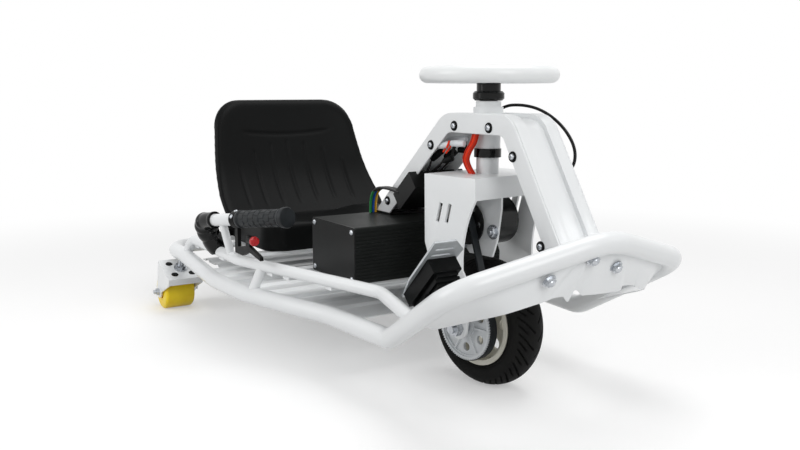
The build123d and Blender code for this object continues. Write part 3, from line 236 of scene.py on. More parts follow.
FINISH_OF = {
    "white_paint": POWDER_COAT,
    "black_paint": BLACK_ENAMEL,
    "black_plastic": SEAT_PLASTIC,
    "black_rubber": GRIP_RUBBER,
    "tyre_rubber": TYRE_RUBBER,
    "zinc": ZINC,
    "motor_black": BLACK_ENAMEL,
    "roller_yellow": URETHANE,
    "pulley_white": NYLON_GREY,
    "rim_cream": RIM_ENAMEL,
    "aluminium": ALUMINIUM,
    "wheel_white": DIPPED_RIM,
    "cable_black": SHEATH,
    "lead_orange": SILICONE,
}
OWN_FINISH = {
    "battery_case": BLACK_ANODISED,
    "lever_elbow": ELBOW_RUBBER,
    "lever_bracket": BLACK_NYLON,
    "pedal_body": BLACK_NYLON,
    "pedal_plate": PEDAL_METAL,
    "column_collars": POLISHED_BLACK,
    "motor": MOTOR_PAINT,
}


def dress_nodes():
    """Every plain node takes the finish of its material slot, or one of its own."""
    for part in frame["record"]["subparts"]:
        node = frame["nodes"][part["node"]]
        material = OWN_FINISH.get(part["node"], FINISH_OF[part["material_slot"]])
        node.data.materials.clear()
        node.data.materials.append(material)


# Studio

FLOOR_SIDE = 60.0
FLOOR_WHITE = "#DADADA"
LIFT = 0.34              # brightness added to the floor as the eye sees it
FADE_NEAR = 0.9          # metres from the kart's middle, where the floor starts to fade to plain white
FADE_FAR = 2.6
ROOM_LIGHT = 0.42        # strength of the world as a light; it is seen at 1
LAMPS = (
    # name, place and width in metres, power in watts
    ("lamp_above", (0.1, 0.5, 2.6), 2.0, 27),
    ("lamp_front", (2.5, -0.4, 1.5), 1.4, 19),
    ("lamp_side", (-0.5, -2.5, 1.3), 1.6, 22),
    ("lamp_streak", (2.0, 1.8, 1.5), 0.45, 3),
)
LAMP_AIM = Vector((0, 0, 0.25))


def seen_directly(tree):
    """One for what the eye sees straight or in a reflection, otherwise zero."""
    seen = add(tree, "ShaderNodeLightPath")
    ray = add(tree, "ShaderNodeMath", {"operation": "MAXIMUM"})
    tree.links.new(seen.outputs["Is Camera Ray"], ray.inputs[0])
    tree.links.new(seen.outputs["Is Glossy Ray"], ray.inputs[1])
    return ray.outputs[0]


def product(tree, first, second):
    """The product of an output and another output or a number."""
    node = add(tree, "ShaderNodeMath", {"operation": "MULTIPLY"})
    tree.links.new(first, node.inputs[0])
    if isinstance(second, float):
        node.inputs[1].default_value = second
    else:
        tree.links.new(second, node.inputs[1])
    return node.outputs[0]


def build_floor():
    """White floor that keeps the shadow and fades to plain white away from the kart."""
    material, tree = new_material("studio_floor")
    seen = seen_directly(tree)
    lit = add(tree, "ShaderNodeBsdfDiffuse", {"Color": linear(FLOOR_WHITE)})
    glow = add(tree, "ShaderNodeEmission", Strength=product(tree, seen, LIFT))
    both = add(tree, "ShaderNodeAddShader")
    tree.links.new(lit.outputs[0], both.inputs[0])
    tree.links.new(glow.outputs[0], both.inputs[1])
    away = add(tree, "ShaderNodeVectorMath", {"operation": "LENGTH"})
    tree.links.new(add(tree, "ShaderNodeTexCoord").outputs["Object"], away.inputs[0])
    span = {"From Min": FADE_NEAR, "From Max": FADE_FAR}
    far = add(tree, "ShaderNodeMapRange", span, Value=away.outputs["Value"])
    far.interpolation_type = "SMOOTHSTEP"
    white = add(tree, "ShaderNodeEmission", {"Color": linear("#FFFFFF")})
    faded = add(tree, "ShaderNodeMixShader", Fac=product(tree, far.outputs["Result"], seen))
    tree.links.new(both.outputs[0], faded.inputs[1])
    tree.links.new(white.outputs[0], faded.inputs[2])
    add(tree, "ShaderNodeOutputMaterial", Surface=faded.outputs[0])
    half = FLOOR_SIDE / 2
    corners = [(-half, -half, 0), (half, -half, 0), (half, half, 0), (-half, half, 0)]
    mesh = bpy.data.meshes.new("studio_floor")
    mesh.from_pydata(corners, [], [(0, 1, 2, 3)])
    mesh.materials.append(material)
    floor = bpy.data.objects.new("studio_floor", mesh)
    scene.collection.objects.link(floor)


def build_studio():
    """The floor, a white world behind it, three soft lamps and one small one for highlights."""
    build_floor()
    world = bpy.data.worlds.new("studio_world")
    scene.world = world
    world.use_nodes = True
    tree = world.node_tree
    tree.nodes.clear()
    span = {"To Min": ROOM_LIGHT, "To Max": 1.0}
    level = add(tree, "ShaderNodeMapRange", span, Value=seen_directly(tree))
    white = {"Color": linear("#FFFFFF")}
    sky = add(tree, "ShaderNodeBackground", white, Strength=level.outputs["Result"])
    add(tree, "ShaderNodeOutputWorld", Surface=sky.outputs[0])
    for name, place, size, power in LAMPS:
        light = bpy.data.lights.new(name, "AREA")
        light.shape = "DISK"
        light.size = size
        light.energy = power
        lamp = bpy.data.objects.new(name, light)
        lamp.location = place
        lamp.rotation_euler = (LAMP_AIM - Vector(place)).to_track_quat("-Z", "Y").to_euler()
        scene.collection.objects.link(lamp)


# Cords

LEAD_RADIUS = 3.0
MOTOR_LEAD_RADIUS = 3.4
CABLE_RADIUS = 3.0
HEAD_CABLE = (
    (-38, 34, 525),
    (-38, 62, 549),
    (6, 82, 552),
    (64, 84, 541),
    (122, 82, 512),
    (162, 76, 472),
    (161, 68, 434),
    (140, 46, 412),
)
BATTERY_LEAD = ((-215, 366), (-262, 372), (-318, 366), (-336, 336), (-334, 309))
BATTERY_LEAD_Y = (-66.2, -59.8, -53.4)
MOTOR_LEAD = ((6, -36, 516), (2, -37, 486), (-20, -36, 462), (-26, -35, 442), (-8, -34, 422))
MOTOR_LEAD_STEP = ((-5.5, 1), (1.5, -1), (8.5, -3))
# The outer motor leads take the darker silicone: painted shade that sets the three leads apart.
MOTOR_LEAD_FINISH = (SILICONE_PAINTED_SHADE, SILICONE, SILICONE_PAINTED_SHADE)


def lay_cord(name, points, radius, material, body, node):
    """A cord on one smooth line from the route's first point to its last, riding on one body."""
    curve = bpy.data.curves.new(name, "CURVE")
    curve.dimensions = "3D"
    spline = curve.splines.new("NURBS")
    spline.points.add(len(points) - 1)
    for knot, point in zip(spline.points, points):
        knot.co = (*point, 1)
    spline.order_u = 3
    spline.use_endpoint_u = True
    spline.resolution_u = 16
    piece = bpy.data.objects.new(name, curve)
    scene.collection.objects.link(piece)
    line = bpy.data.meshes.new_from_object(piece)
    knots = [v.co for v in line.vertices]
    length = sum((b - a).length for a, b in zip(knots, knots[1:]))
    curve.bevel_depth = radius * MM
    curve.bevel_resolution = 4
    curve.use_fill_caps = True
    curve.materials.append(material)
    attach(piece, body)
    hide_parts(node)
    print("cord", name, round(length, 4))
    return piece


def lay_cords():
    route = [at(*p) for p in HEAD_CABLE]
    lay_cord("throttle_cable", route, CABLE_RADIUS, SHEATH, "chassis", "head_cable")
    for number, y in enumerate(BATTERY_LEAD_Y):
        route = [at(x, y, z) for x, z in BATTERY_LEAD]
        name = f"battery_lead_{number + 1}"
        core = sleeved_lead(f"lead_core_{number + 1}", LEAD_CORES[number])
        lay_cord(name, route, LEAD_RADIUS, core, "chassis", "battery_leads")
    for number, (dx, dy) in enumerate(MOTOR_LEAD_STEP):
        route = [steered(x + dx, y + dy, z) for x, y, z in MOTOR_LEAD]
        name = f"motor_lead_{number + 1}"
        finish = MOTOR_LEAD_FINISH[number]
        lay_cord(name, route, MOTOR_LEAD_RADIUS, finish, "steering", "motor_leads")


# Making meshes


def grid(rows, columns, point, wrap_rows=False, wrap_columns=False):
    """A mesh of quads. point(v, u) gives each corner for its share of the rows and of the columns."""
    high = rows if wrap_rows else rows + 1
    wide = columns if wrap_columns else columns + 1
    corners = [point(i / rows, j / columns) for i in range(high) for j in range(wide)]
    faces = []
    for i in range(rows):
        above = (i + 1) % high
        for j in range(columns):
            beside = (j + 1) % wide
            faces.append((i * wide + j, i * wide + beside, above * wide + beside, above * wide + j))
    mesh = bpy.data.meshes.new("grid")
    mesh.from_pydata(corners, [], faces)
    return mesh


def outward(mesh):
    """Merges doubled corners and turns every face outwards."""
    work = bmesh.new()
    work.from_mesh(mesh)
    bmesh.ops.remove_doubles(work, verts=work.verts, dist=0.00002)
    bmesh.ops.recalc_face_normals(work, faces=work.faces)
    work.to_mesh(mesh)
    work.free()
    return mesh


def modified(mesh, *steps):
    """The plain mesh that the modifiers make. A step is a modifier's kind and its settings."""
    work = bpy.data.objects.new("work", mesh)
    scene.collection.objects.link(work)
    for kind, settings in steps:
        modifier = work.modifiers.new(kind.lower(), kind)
        for key, value in settings.items():
            setattr(modifier, key, value)
    return plain_mesh(work)


def plain_mesh(work):
    made = bpy.data.meshes.new_from_object(work.evaluated_get(bpy.context.evaluated_depsgraph_get()))
    bpy.data.objects.remove(work)
    return made


def show(name, mesh, finish, body, slot, *nodes, sharp=38):
    """A finished mesh as a piece that rides on a body and stands for those nodes."""
    if finish:
        mesh.materials.clear()
        mesh.materials.append(finish)
    mesh.shade_smooth()
    mesh.set_sharp_from_angle(angle=math.radians(sharp))
    piece = bpy.data.objects.new(name, mesh)
    scene.collection.objects.link(piece)
    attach(piece, body)
    if nodes:
        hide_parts(*nodes)
    return piece


def smooth_step(value, low, high):
    share = min(max((value - low) / (high - low), 0.0), 1.0)
    return share * share * (3 - 2 * share)


def along(points, share):
    """A place on the smooth line through the points, each span one step of the share."""
    spans = len(points) - 1
    index = min(int(share * spans), spans - 1)
    t = share * spans - index
    p0, p1, p2, p3 = (Vector(points[min(max(index + k, 0), spans)]) for k in (-1, 0, 1, 2))
    square = p0 * 2 - p1 * 5 + p2 * 4 - p3
    cube = p1 * 3 - p0 - p2 * 3 + p3
    return (p1 * 2 + (p2 - p0) * t + square * t**2 + cube * t**3) / 2


# Fasteners: turned or hexagonal layers on one axis, one copy on each point of a list

FASTENER_LAYERS = {
    # name: layers, each with its number of sides and its outline as (radius, height) in millimetres
    "dome_screw": (
        (28, ((0, 0), (5.8, 0), (5.8, 2.6), (5.0, 4.0), (3.2, 4.8), (2.4, 4.8), (2.0, 3.0), (0, 3.0))),
    ),
    "cup_washer": (
        (32, ((0, 0), (9.8, 0), (9.8, 1.0), (8.8, 2.6), (7.0, 3.2), (5.9, 1.6), (0, 1.6))),
    ),
    "plug": (
        (28, ((0, 0), (8.8, 0), (8.6, 0.9), (6.8, 1.3), (0, 1.4))),
    ),
    "dome_nut": (
        (28, ((0, 0), (12.5, 0), (12.5, 2.0), (0, 2.0))),
        (6, ((0, 2.0), (10.0, 2.0), (10.0, 7.5), (0, 7.5))),
        (28, ((0, 7.0), (7.2, 7.0), (7.0, 8.6), (5.6, 10.6), (3.0, 11.8), (0, 12.2))),
    ),
    "hex_bolt": (
        (28, ((0, 0), (14.0, 0), (14.0, 2.2), (0, 2.2))),
        (6, ((0, 2.2), (10.0, 2.2), (10.0, 7.6), (8.8, 8.6), (0, 8.6))),
        (20, ((0, 8.6), (5.0, 8.6), (5.0, 12.0), (4.2, 12.8), (0, 12.8))),
    ),
    "small_screw": (
        (20, ((0, 0), (5.0, 0), (5.0, 0.8), (4.2, 1.9), (2.4, 2.6), (1.6, 1.4), (0, 1.4))),
    ),
}


def turned(layers):
    """Layers about the Z axis, as one mesh."""
    work = bmesh.new()
    for sides, outline in layers:
        part = grid(
            len(outline) - 1,
            sides,
            lambda v, u: (
                outline[round(v * (len(outline) - 1))][0] * MM * math.cos(math.tau * u),
                outline[round(v * (len(outline) - 1))][0] * MM * math.sin(math.tau * u),
                outline[round(v * (len(outline) - 1))][1] * MM,
            ),
            wrap_columns=True,
        )
        work.from_mesh(outward(part))
    made = bpy.data.meshes.new("turned")
    work.to_mesh(made)
    work.free()
    return made


def copies_tree():
    """Puts one copy of a shape on each point, its own Z along the point's facing."""
    tree = bpy.data.node_groups.new("copies_on_points", "GeometryNodeTree")
    inputs = (("Places", "Geometry"), ("Shape", "Object"), ("Size", "Float"), ("Finish", "Material"))
    for name, kind in inputs:
        tree.interface.new_socket(name, in_out="INPUT", socket_type="NodeSocket" + kind)
    tree.interface.new_socket("Copies", in_out="OUTPUT", socket_type="NodeSocketGeometry")
    given = add(tree, "NodeGroupInput").outputs
    shape = add(tree, "GeometryNodeObjectInfo", Object=given["Shape"])
    named = {"data_type": "FLOAT_VECTOR", "Name": "facing"}
    facing = add(tree, "GeometryNodeInputNamedAttribute", named)
    turn = add(tree, "FunctionNodeAlignRotationToVector", {"axis": "Z"}, Vector=facing.outputs["Attribute"])
    copies = add(
        tree,
        "GeometryNodeInstanceOnPoints",
        Points=given["Places"],
        Instance=shape.outputs["Geometry"],
        Rotation=turn.outputs["Rotation"],
        Scale=given["Size"],
    )
    real = add(tree, "GeometryNodeRealizeInstances", Geometry=copies.outputs["Instances"])
    done = add(tree, "GeometryNodeSetMaterial", Geometry=real.outputs["Geometry"], Material=given["Finish"])
    add(tree, "NodeGroupOutput", Copies=done.outputs["Geometry"])
    return tree


def grow(tree, places, facings, shape_mesh, size, finish):
    """Copies of the shape on the places, as a plain mesh."""
    points = bpy.data.meshes.new("places")
    points.from_pydata(places, [], [])
    facing = points.attributes.new("facing", "FLOAT_VECTOR", "POINT")
    for value, direction in zip(facing.data, facings):
        value.vector = direction
    shape = bpy.data.objects.new("shape", shape_mesh)
    scene.collection.objects.link(shape)
    work = bpy.data.objects.new("work", points)
    scene.collection.objects.link(work)
    modifier = work.modifiers.new("copies", "NODES")
    modifier.node_group = tree
    given = {"Shape": shape, "Size": size, "Finish": finish}
    for socket in tree.interface.items_tree:
        if socket.name in given:
            modifier[socket.identifier] = given[socket.name]
    made = plain_mesh(work)
    bpy.data.objects.remove(shape)
    return made


def turned_left(direction):
    """A direction on the fork, turned with it."""
    cos, sin = math.cos(STEER_REST), math.sin(STEER_REST)
    return (direction[0] * cos - direction[1] * sin, direction[0] * sin + direction[1] * cos, direction[2])


TOWER_SCREWS = ((-41, 512), (66, 512), (-120, 471), (135, 464), (-287, 340), (214, 316))
TOWER_HALF = 50
PAN_NUTS = ((300, -108, 281), (318, -31, 311), (307, 33, 289))
PAN_FACING = (0.84, 0.02, -0.54)
BATTERY_SCREWS = ((-336, 203), (-172, 203), (-336, 299), (-172, 299))
BATTERY_END = 205
MOTOR_BOLTS = ((43, -26, 315), (-38, -26, 286))
HUB_TOP = 603
HUB_SCREW_AT = 23
HUB_SCREWS = 6
RING_SCREWS = (25, 80, 135, 190)      # degrees round the lever's clamp ring, from level
RING_SHARE = 0.385       # the ring's place along the lever
RING_RADIUS = 0.0188
LEVER_REAR = (-566, -355, 285)
LEVER_END = (-310, -285, 318)


CASTER_TOP = (-875, 334, 114)
CASTER_LEAN = math.radians(22)
PLATE_UP = (math.sin(CASTER_LEAN), 0, math.cos(CASTER_LEAN))
PLUG_OFF = (26, 23)      # plate's corner holes, off the swivel axis along and across


def plug_places(side):
    """Places of the plugs in the corner holes of one caster's plate."""
    x, y, z = CASTER_TOP
    ahead, across = PLUG_OFF
    cos, sin = math.cos(CASTER_LEAN), math.sin(CASTER_LEAN)
    corners = [(a, b) for a in (-ahead, ahead) for b in (-across, across)]
    return [at(x + a * cos, side * y + b, z - a * sin) for a, b in corners]


def lever_frame():
    """The lever's start, its direction and two directions across it."""
    start, end = at(*LEVER_REAR), at(*LEVER_END)
    way = (end - start).normalized()
    side = way.cross(Vector((0, 0, 1))).normalized()
    return start, way, side, side.cross(way)


def add_fasteners():
    tree = copies_tree()
    start, way, side, up = lever_frame()
    length = (at(*LEVER_END) - start).length
    ring = start + way * length * RING_SHARE
    turns = [math.radians(a) for a in RING_SCREWS]
    ring_ways = [side * math.cos(a) + up * math.sin(a) for a in turns]
    ring_places = [ring + w * RING_RADIUS for w in ring_ways]
    hub_angles = [math.tau * k / HUB_SCREWS for k in range(HUB_SCREWS)]
    hub_places = [at(HUB_SCREW_AT * math.cos(a), HUB_SCREW_AT * math.sin(a), HUB_TOP) for a in hub_angles]
    both = (-1, 1)
    tower_places = [at(x, s * TOWER_HALF, z) for s in both for x, z in TOWER_SCREWS]
    tower_ways = [(0, s, 0) for s in both for place in TOWER_SCREWS]
    battery_places = [at(x, s * BATTERY_END, z) for s in both for x, z in BATTERY_SCREWS]
    battery_ways = [(0, s, 0) for s in both for place in BATTERY_SCREWS]
    nut_places = [at(*p) for p in PAN_NUTS]
    bolt_places = [steered(*p) for p in MOTOR_BOLTS]
    bolt_ways = [turned_left((0, -1, 0))] * len(MOTOR_BOLTS)
    sets = (
        # name, shape, size, body, places, facings
        ("tower_screws", "dome_screw", 1.0, "chassis", tower_places, tower_ways),
        ("tower_cups", "cup_washer", 1.0, "chassis", tower_places, tower_ways),
        ("nose_nuts", "dome_nut", 1.0, "chassis", nut_places, [PAN_FACING] * len(PAN_NUTS)),
        ("battery_screws", "small_screw", 1.1, "chassis", battery_places, battery_ways),
        ("motor_bolts", "hex_bolt", 1.0, "steering", bolt_places, bolt_ways),
        ("hub_screws", "small_screw", 0.9, "steering", hub_places, [(0, 0, 1)] * HUB_SCREWS),
        ("lever_ring_screws", "small_screw", 0.9, "chassis", ring_places, ring_ways),
        ("yoke_plugs_right", "plug", 1.0, "caster_right", plug_places(-1), [PLATE_UP] * 4),
        ("yoke_plugs_left", "plug", 1.0, "caster_left", plug_places(1), [PLATE_UP] * 4),
    )
    for name, kind, size, body, places, facings in sets:
        finish, slot = (BLACK_NYLON, "black_plastic") if kind in ("cup_washer", "plug") else (ZINC, "zinc")
        mesh = grow(tree, places, facings, turned(FASTENER_LAYERS[kind]), size, finish)
        show(name, mesh, None, body, slot)


# Tyre

TYRE_R = 127.5
TYRE_AT = (0, 8, 127.5)
GROOVES = 23             # one tread block is about 35 mm long
GROOVE_DEPTH = 4.5
GROOVE_HALF_W = 2.3
GROOVE_SWEEP = 0.30      # radians that a groove trails from the crown to the shoulder
TYRE_STEPS = 720
SHOULDER = 33            # half the width of the tread
TREAD_FROM = 108         # radius outside which the tread is cut


def arc_through(a, b, c, count):
    """Points on the circle through a, b and c, without the first."""
    ax, ay, bx, by, cx, cy = *a, *b, *c
    d = 2 * (ax * (by - cy) + bx * (cy - ay) + cx * (ay - by))
    a2, b2, c2 = ax * ax + ay * ay, bx * bx + by * by, cx * cx + cy * cy
    ox = (a2 * (by - cy) + b2 * (cy - ay) + c2 * (ay - by)) / d
    oy = (a2 * (cx - bx) + b2 * (ax - cx) + c2 * (bx - ax)) / d
    radius = math.hypot(ax - ox, ay - oy)
    first = math.atan2(ay - oy, ax - ox)
    last = math.atan2(cy - oy, cx - ox)
    turn = (last - first + math.pi) % math.tau - math.pi
    angles = [first + turn * k / count for k in range(1, count + 1)]
    return [(ox + radius * math.cos(t), oy + radius * math.sin(t)) for t in angles]


def tyre_section():
    """The tyre's section as (radius, across) in millimetres: bead, guard, flank, crown and back."""
    half = [(76, -25), (84, -31), (86.5, -33.6), (88, -33.2)]
    half += arc_through(half[-1], (104, -39), (114.5, -SHOULDER), 12)
    crown = arc_through((114.5, -SHOULDER), (TYRE_R, 0), (114.5, SHOULDER), 44)
    return half + crown + [(r, -y) for r, y in half[::-1]][1:]


def tread_depth(angle, across):
    """How far the tread is cut away: long swept grooves and short ones between, in a V."""
    out = abs(across) / SHOULDER
    half_step = 0 if across < 0 else 0.5
    sweep = GROOVE_SWEEP * out**1.25
    turns = (angle - sweep) / math.tau * GROOVES + half_step
    depth = 0.0
    for shift, low, high in ((0.0, 0.10, 1.06), (0.5, 0.55, 1.06)):
        off = abs((turns + shift + 0.5) % 1 - 0.5) * math.tau * TYRE_R / GROOVES
        wall = 1 - smooth_step(off, GROOVE_HALF_W * 0.55, GROOVE_HALF_W)
        ends = smooth_step(out, low, low + 0.08) * (1 - smooth_step(out, high - 0.08, high))
        depth = max(depth, wall * ends)
    return GROOVE_DEPTH * depth


def build_tyre():
    section = tyre_section()

    def point(v, u):
        radius, across = section[round(v * len(section)) % len(section)]
        angle = math.tau * u
        radius -= tread_depth(angle, across) if radius > TREAD_FROM else 0
        x, z = radius * math.cos(angle), radius * math.sin(angle)
        return steered(TYRE_AT[0] + x, TYRE_AT[1] + across, TYRE_AT[2] + z)

    mesh = outward(grid(len(section), TYRE_STEPS, point, wrap_rows=True, wrap_columns=True))
    show("tyre_with_tread", mesh, TYRE_RUBBER, "drive_wheel", "tyre_rubber", "tyre")


# Seat

BACK_TOP = 552
BACK_CORNER = 80
BACK_HALF = 235          # half width of the back up to BACK_TAPER_FROM, less BACK_TAPER at its top
BACK_TAPER = 35
BACK_TAPER_FROM = 300
BACK_AXIS_X = -228       # upright axis about which the back is curved
BACK_CURVE = ((205, 590), (370, 672), (572, 720))    # height, radius about that axis
BACK_FROM = (785, 815)   # the back's forms fade in over this distance behind the steering axis
BACK_CURL = 26           # the back's rim curls rearwards over this width
BACK_CURL_DEPTH = 0.55   # share of the curl's width
SWEEP_DEPTH = 42         # the back's foot runs forward into the seat below SWEEP_TOP
SWEEP_TOP = 400
SWEEP_HIGH = 150
SEAT_GROOVES = range(-3, 4)
SEAT_GROOVE_STEP = 52
SEAT_GROOVE_DEPTH = 3.2
SEAT_GROOVE_HALF_W = 4.6
SEAT_GROOVE_TOP = 445    # the middle one's; each next one ends lower
SEAT_GROOVE_FOOT = (262, 292)
CREASE_Z = 456
CREASE_DEPTH = 2.4
CREASE_HALF_W = 6
SEAT_VOXEL = 3.0


def back_radius(z):
    """Radius of the back about its upright axis, on the arc through three heights."""
    low, mid, top = BACK_CURVE
    share = (z - low[0]) / (top[0] - low[0])
    mid_share = (mid[0] - low[0]) / (top[0] - low[0])
    bulge = (mid[1] - low[1] - (top[1] - low[1]) * mid_share) / (mid_share * (1 - mid_share))
    return low[1] + (top[1] - low[1]) * share + bulge * share * (1 - share)


def sweep(z):
    """How far the foot of the back sweeps forward into the seat at a height."""
    return SWEEP_DEPTH * (min(max(SWEEP_TOP - z, 0), SWEEP_HIGH) / SWEEP_HIGH) ** 2


def rim_distance(y, z):
    """How far a place on the back is from its outline."""
    half = BACK_HALF - max(z - BACK_TAPER_FROM, 0) / (BACK_TOP - BACK_TAPER_FROM) * BACK_TAPER
    side, top = half - abs(y), BACK_TOP - z
    if side < BACK_CORNER and top < BACK_CORNER:
        return BACK_CORNER - math.hypot(BACK_CORNER - side, BACK_CORNER - top)
    return min(side, top)


def seat_relief(x, y, z):
    """Backward shift of the back at a place: its curled rim, seven grooves and a crease."""
    edge = min(max(rim_distance(y, z), 0), BACK_CURL)
    lean = 1 - edge / BACK_CURL
    shift = BACK_CURL * BACK_CURL_DEPTH * (1 - math.sqrt(max(1 - lean * lean, 0)))
    front = 1 - smooth_step(BACK_AXIS_X - math.sqrt(back_radius(z) ** 2 - y * y) - x, 3, 9)
    for k in SEAT_GROOVES:
        top = SEAT_GROOVE_TOP - 6 * k * k
        ends = smooth_step(z, *SEAT_GROOVE_FOOT) * (1 - smooth_step(z, top - 18, top))
        off = (y - k * SEAT_GROOVE_STEP) / SEAT_GROOVE_HALF_W
        shift += SEAT_GROOVE_DEPTH * front * ends * math.exp(-(off**2))
    off = (z - CREASE_Z - (y / 150) ** 2 * 12) / CREASE_HALF_W
    shift += CREASE_DEPTH * front * math.exp(-(off**2)) * (1 - smooth_step(abs(y), 110, 150))
    return shift


def build_seat():
    """One moulding: the plain solid rounded all over, then pressed with its curl and grooves."""
    mesh = outward(frame["nodes"]["seat_shell"].data.copy())
    mesh = modified(
        mesh,
        ("REMESH", {"mode": "VOXEL", "voxel_size": SEAT_VOXEL * MM}),
        ("SMOOTH", {"factor": 0.5, "iterations": 14}),
    )
    for corner in mesh.vertices:
        x, y, z = corner.co / MM
        x -= STEER_X
        behind = smooth_step(-x, *BACK_FROM)
        if behind > 0:
            corner.co.x += (sweep(z) - seat_relief(x, y, z)) * behind * MM
    show("seat_moulding", mesh, SEAT_PLASTIC, "chassis", "black_plastic", "seat_shell", sharp=60)


# Nose sheet

NOSE_RIM = ((124, -245, 187), (213, -257, 241), (258, -200, 283), (311, -60, 325), (318, 0, 340))
NOSE_FOOT = ((110, -197, 168), (180, -180, 195), (257, -160, 224), (281, -85, 242), (289, 0, 243))
NOSE_LOBES = (           # place across, rise of the lower edge
    (-104, 0), (-78, 3), (-64, 3), (-54, -8), (-46, 10), (-37, 11), (-23, 0), (70, -5), (76, 4), (116, 4),
)
NOSE_T = 2.5
NOSE_BOW = 14
NOSE_CREASE = 5
NOSE_FACING = Vector((0.75, 0, -0.4))


def lobe(y):
    """Rise of the sheet's wavy lower edge at a place across the nose."""
    for (y0, z0), (y1, z1) in zip(NOSE_LOBES, NOSE_LOBES[1:]):
        if y0 <= y <= y1:
            return z0 + (z1 - z0) * smooth_step(y, y0, y1)
    return 0


def build_nose_sheet():
    """Pressed sheet welded inside the hoop: bowed forward, with an uneven lower edge."""
    rim = list(NOSE_RIM) + [(x, -y, z) for x, y, z in NOSE_RIM[-2::-1]]
    foot = list(NOSE_FOOT) + [(x, -y, z) for x, y, z in NOSE_FOOT[-2::-1]]

    def point(v, u):
        top, low = along(rim, u), along(foot, u)
        low.z += lobe(low.y) * (1 - abs(2 * u - 1)) ** 0.2
        place = top.lerp(low, v)
        bow = NOSE_BOW * v * (1 - v) * (1 - abs(2 * u - 1)) ** 0.5
        crease = NOSE_CREASE * math.exp(-(((place.y + 30 + 60 * v) / 9) ** 2)) * v * (1 - v) * 4
        place += NOSE_FACING * (bow - crease)
        return at(*place)

    mesh = modified(
        outward(grid(26, 220, point)),
        ("SOLIDIFY", {"thickness": NOSE_T * MM, "offset": 0}),
    )
    show("nose_sheet", mesh, POWDER_COAT, "chassis", "white_paint", "nose_pan", sharp=50)


# Drift lever

GRIP_FROM = 0.42         # share of the lever where the grip starts
GRIP_PAST = 0.03         # share by which it stands past the lever's end
GRIP_PADS_ROUND = 8
GRIP_PADS_LONG = 7
GRIP_PAD_HIGH = 1.7
GRIP_STEPS = 120
GRIP_OUTLINE = (         # along the grip in millimetres, radius
    (0, 14.0), (0, 19.6), (3, 20.2), (7, 20.2), (9, 17.2), (13, 17.2), (15, 17.4),
    (142, 17.4), (146, 17.2), (148, 20.4), (151, 21.6), (154, 21.6), (157, 20.0), (157, 22.2), (162, 22.4),
    (164.5, 21.2), (165, 18.0), (165, 0.01),
)
GRIP_PLAIN = 6           # the outline's straight length starts at this row
ELBOW_RADIUS = 18.4      # at the lever, and ELBOW_SWELL more at the foot
ELBOW_SWELL = 4.6
ELBOW_LIP = 1.4
ELBOW_FOLDS = 4
ELBOW_FOLD_HIGH = 2.8
ELBOW_FOLDED = 0.30      # share of the boot from which it is folded
ELBOW_FOOT = (-612, -320, 207)
ELBOW_STEPS = 120


def build_grip():
    """Grip with raised blocks in staggered rows, a flange at each end and a flat cap."""
    start, way, side, up = lever_frame()
    length = (at(*LEVER_END) - start).length / MM
    origin = start + way * GRIP_FROM * length * MM
    reach = length * (1 - GRIP_FROM) + GRIP_PAST * length
    stretch = reach / GRIP_OUTLINE[-1][0]
    first, plain = GRIP_OUTLINE[GRIP_PLAIN]
    last = GRIP_OUTLINE[GRIP_PLAIN + 1][0]
    rings = list(GRIP_OUTLINE[: GRIP_PLAIN + 1])
    rings += [(first + (last - first) * k / GRIP_STEPS, plain) for k in range(1, GRIP_STEPS)]
    rings += GRIP_OUTLINE[GRIP_PLAIN + 1 :]

    def point(v, u):
        far, radius = rings[round(v * (len(rings) - 1))]
        share = (far - first) / (last - first)
        if 0 < share < 1:
            row = share * GRIP_PADS_LONG
            column = u * GRIP_PADS_ROUND + (0.5 if int(row) % 2 else 0)
            across = abs(column % 1 - 0.5)
            lengthways = abs(row % 1 - 0.5)
            pad = (1 - smooth_step(across, 0.36, 0.43)) * (1 - smooth_step(lengthways, 0.38, 0.46))
            radius += GRIP_PAD_HIGH * pad
        angle = math.tau * u
        ray = side * math.cos(angle) + up * math.sin(angle)
        return origin + way * far * stretch * MM + ray * radius * MM

    mesh = outward(grid(len(rings) - 1, 96, point, wrap_columns=True))
    show("grip_with_blocks", mesh, GRIP_RUBBER, "chassis", "black_rubber", "lever_grip", sharp=50)


def build_elbow():
    """Ribbed rubber boot from the lever's rear end down to the rail, closed at both ends."""
    start, way = lever_frame()[:2]
    length = (at(*LEVER_END) - start).length
    a = start + way * 0.06 * length
    b = start - way * 0.12 * length
    c = start - way * 0.16 * length + Vector((-0.012, 0, 0.002))
    d = at(*ELBOW_FOOT)

    def point(v, u):
        t = min(max((v * ELBOW_STEPS - 1) / (ELBOW_STEPS - 2), 0), 1)
        here = a * (1 - t) ** 3 + b * 3 * t * (1 - t) ** 2 + c * 3 * t * t * (1 - t) + d * t**3
        tangent = (b - a) * (1 - t) ** 2 + (c - b) * 2 * t * (1 - t) + (d - c) * t * t
        across = tangent.cross(Vector((0, 1, 0))).normalized()
        other = tangent.cross(across).normalized()
        angle = math.tau * u
        ray = across * math.cos(angle) + other * math.sin(angle)
        inner = smooth_step(ray.dot(way - Vector((0, 0, 1))), 0.1, 0.8) * (1 - smooth_step(t, 0.5, 0.75))
        radius = ELBOW_RADIUS + ELBOW_SWELL * smooth_step(t, 0.1, 0.8)
        fold = (t - ELBOW_FOLDED) / (1 - ELBOW_FOLDED) * ELBOW_FOLDS
        if fold > 0:
            crest = math.sin(math.pi * (fold % 1)) ** 0.7 * smooth_step(fold, 0, 0.4)
            radius += ELBOW_FOLD_HIGH * (1 - inner) * crest
        radius += ELBOW_LIP * (1 - smooth_step(t, 0.03, 0.06))
        if v in (0, 1):
            radius = 0.01
        return here + ray * radius * MM

    mesh = outward(grid(ELBOW_STEPS, 56, point, wrap_columns=True))
    show("ribbed_elbow", mesh, ELBOW_RUBBER, "chassis", "black_rubber", "lever_elbow", sharp=80)


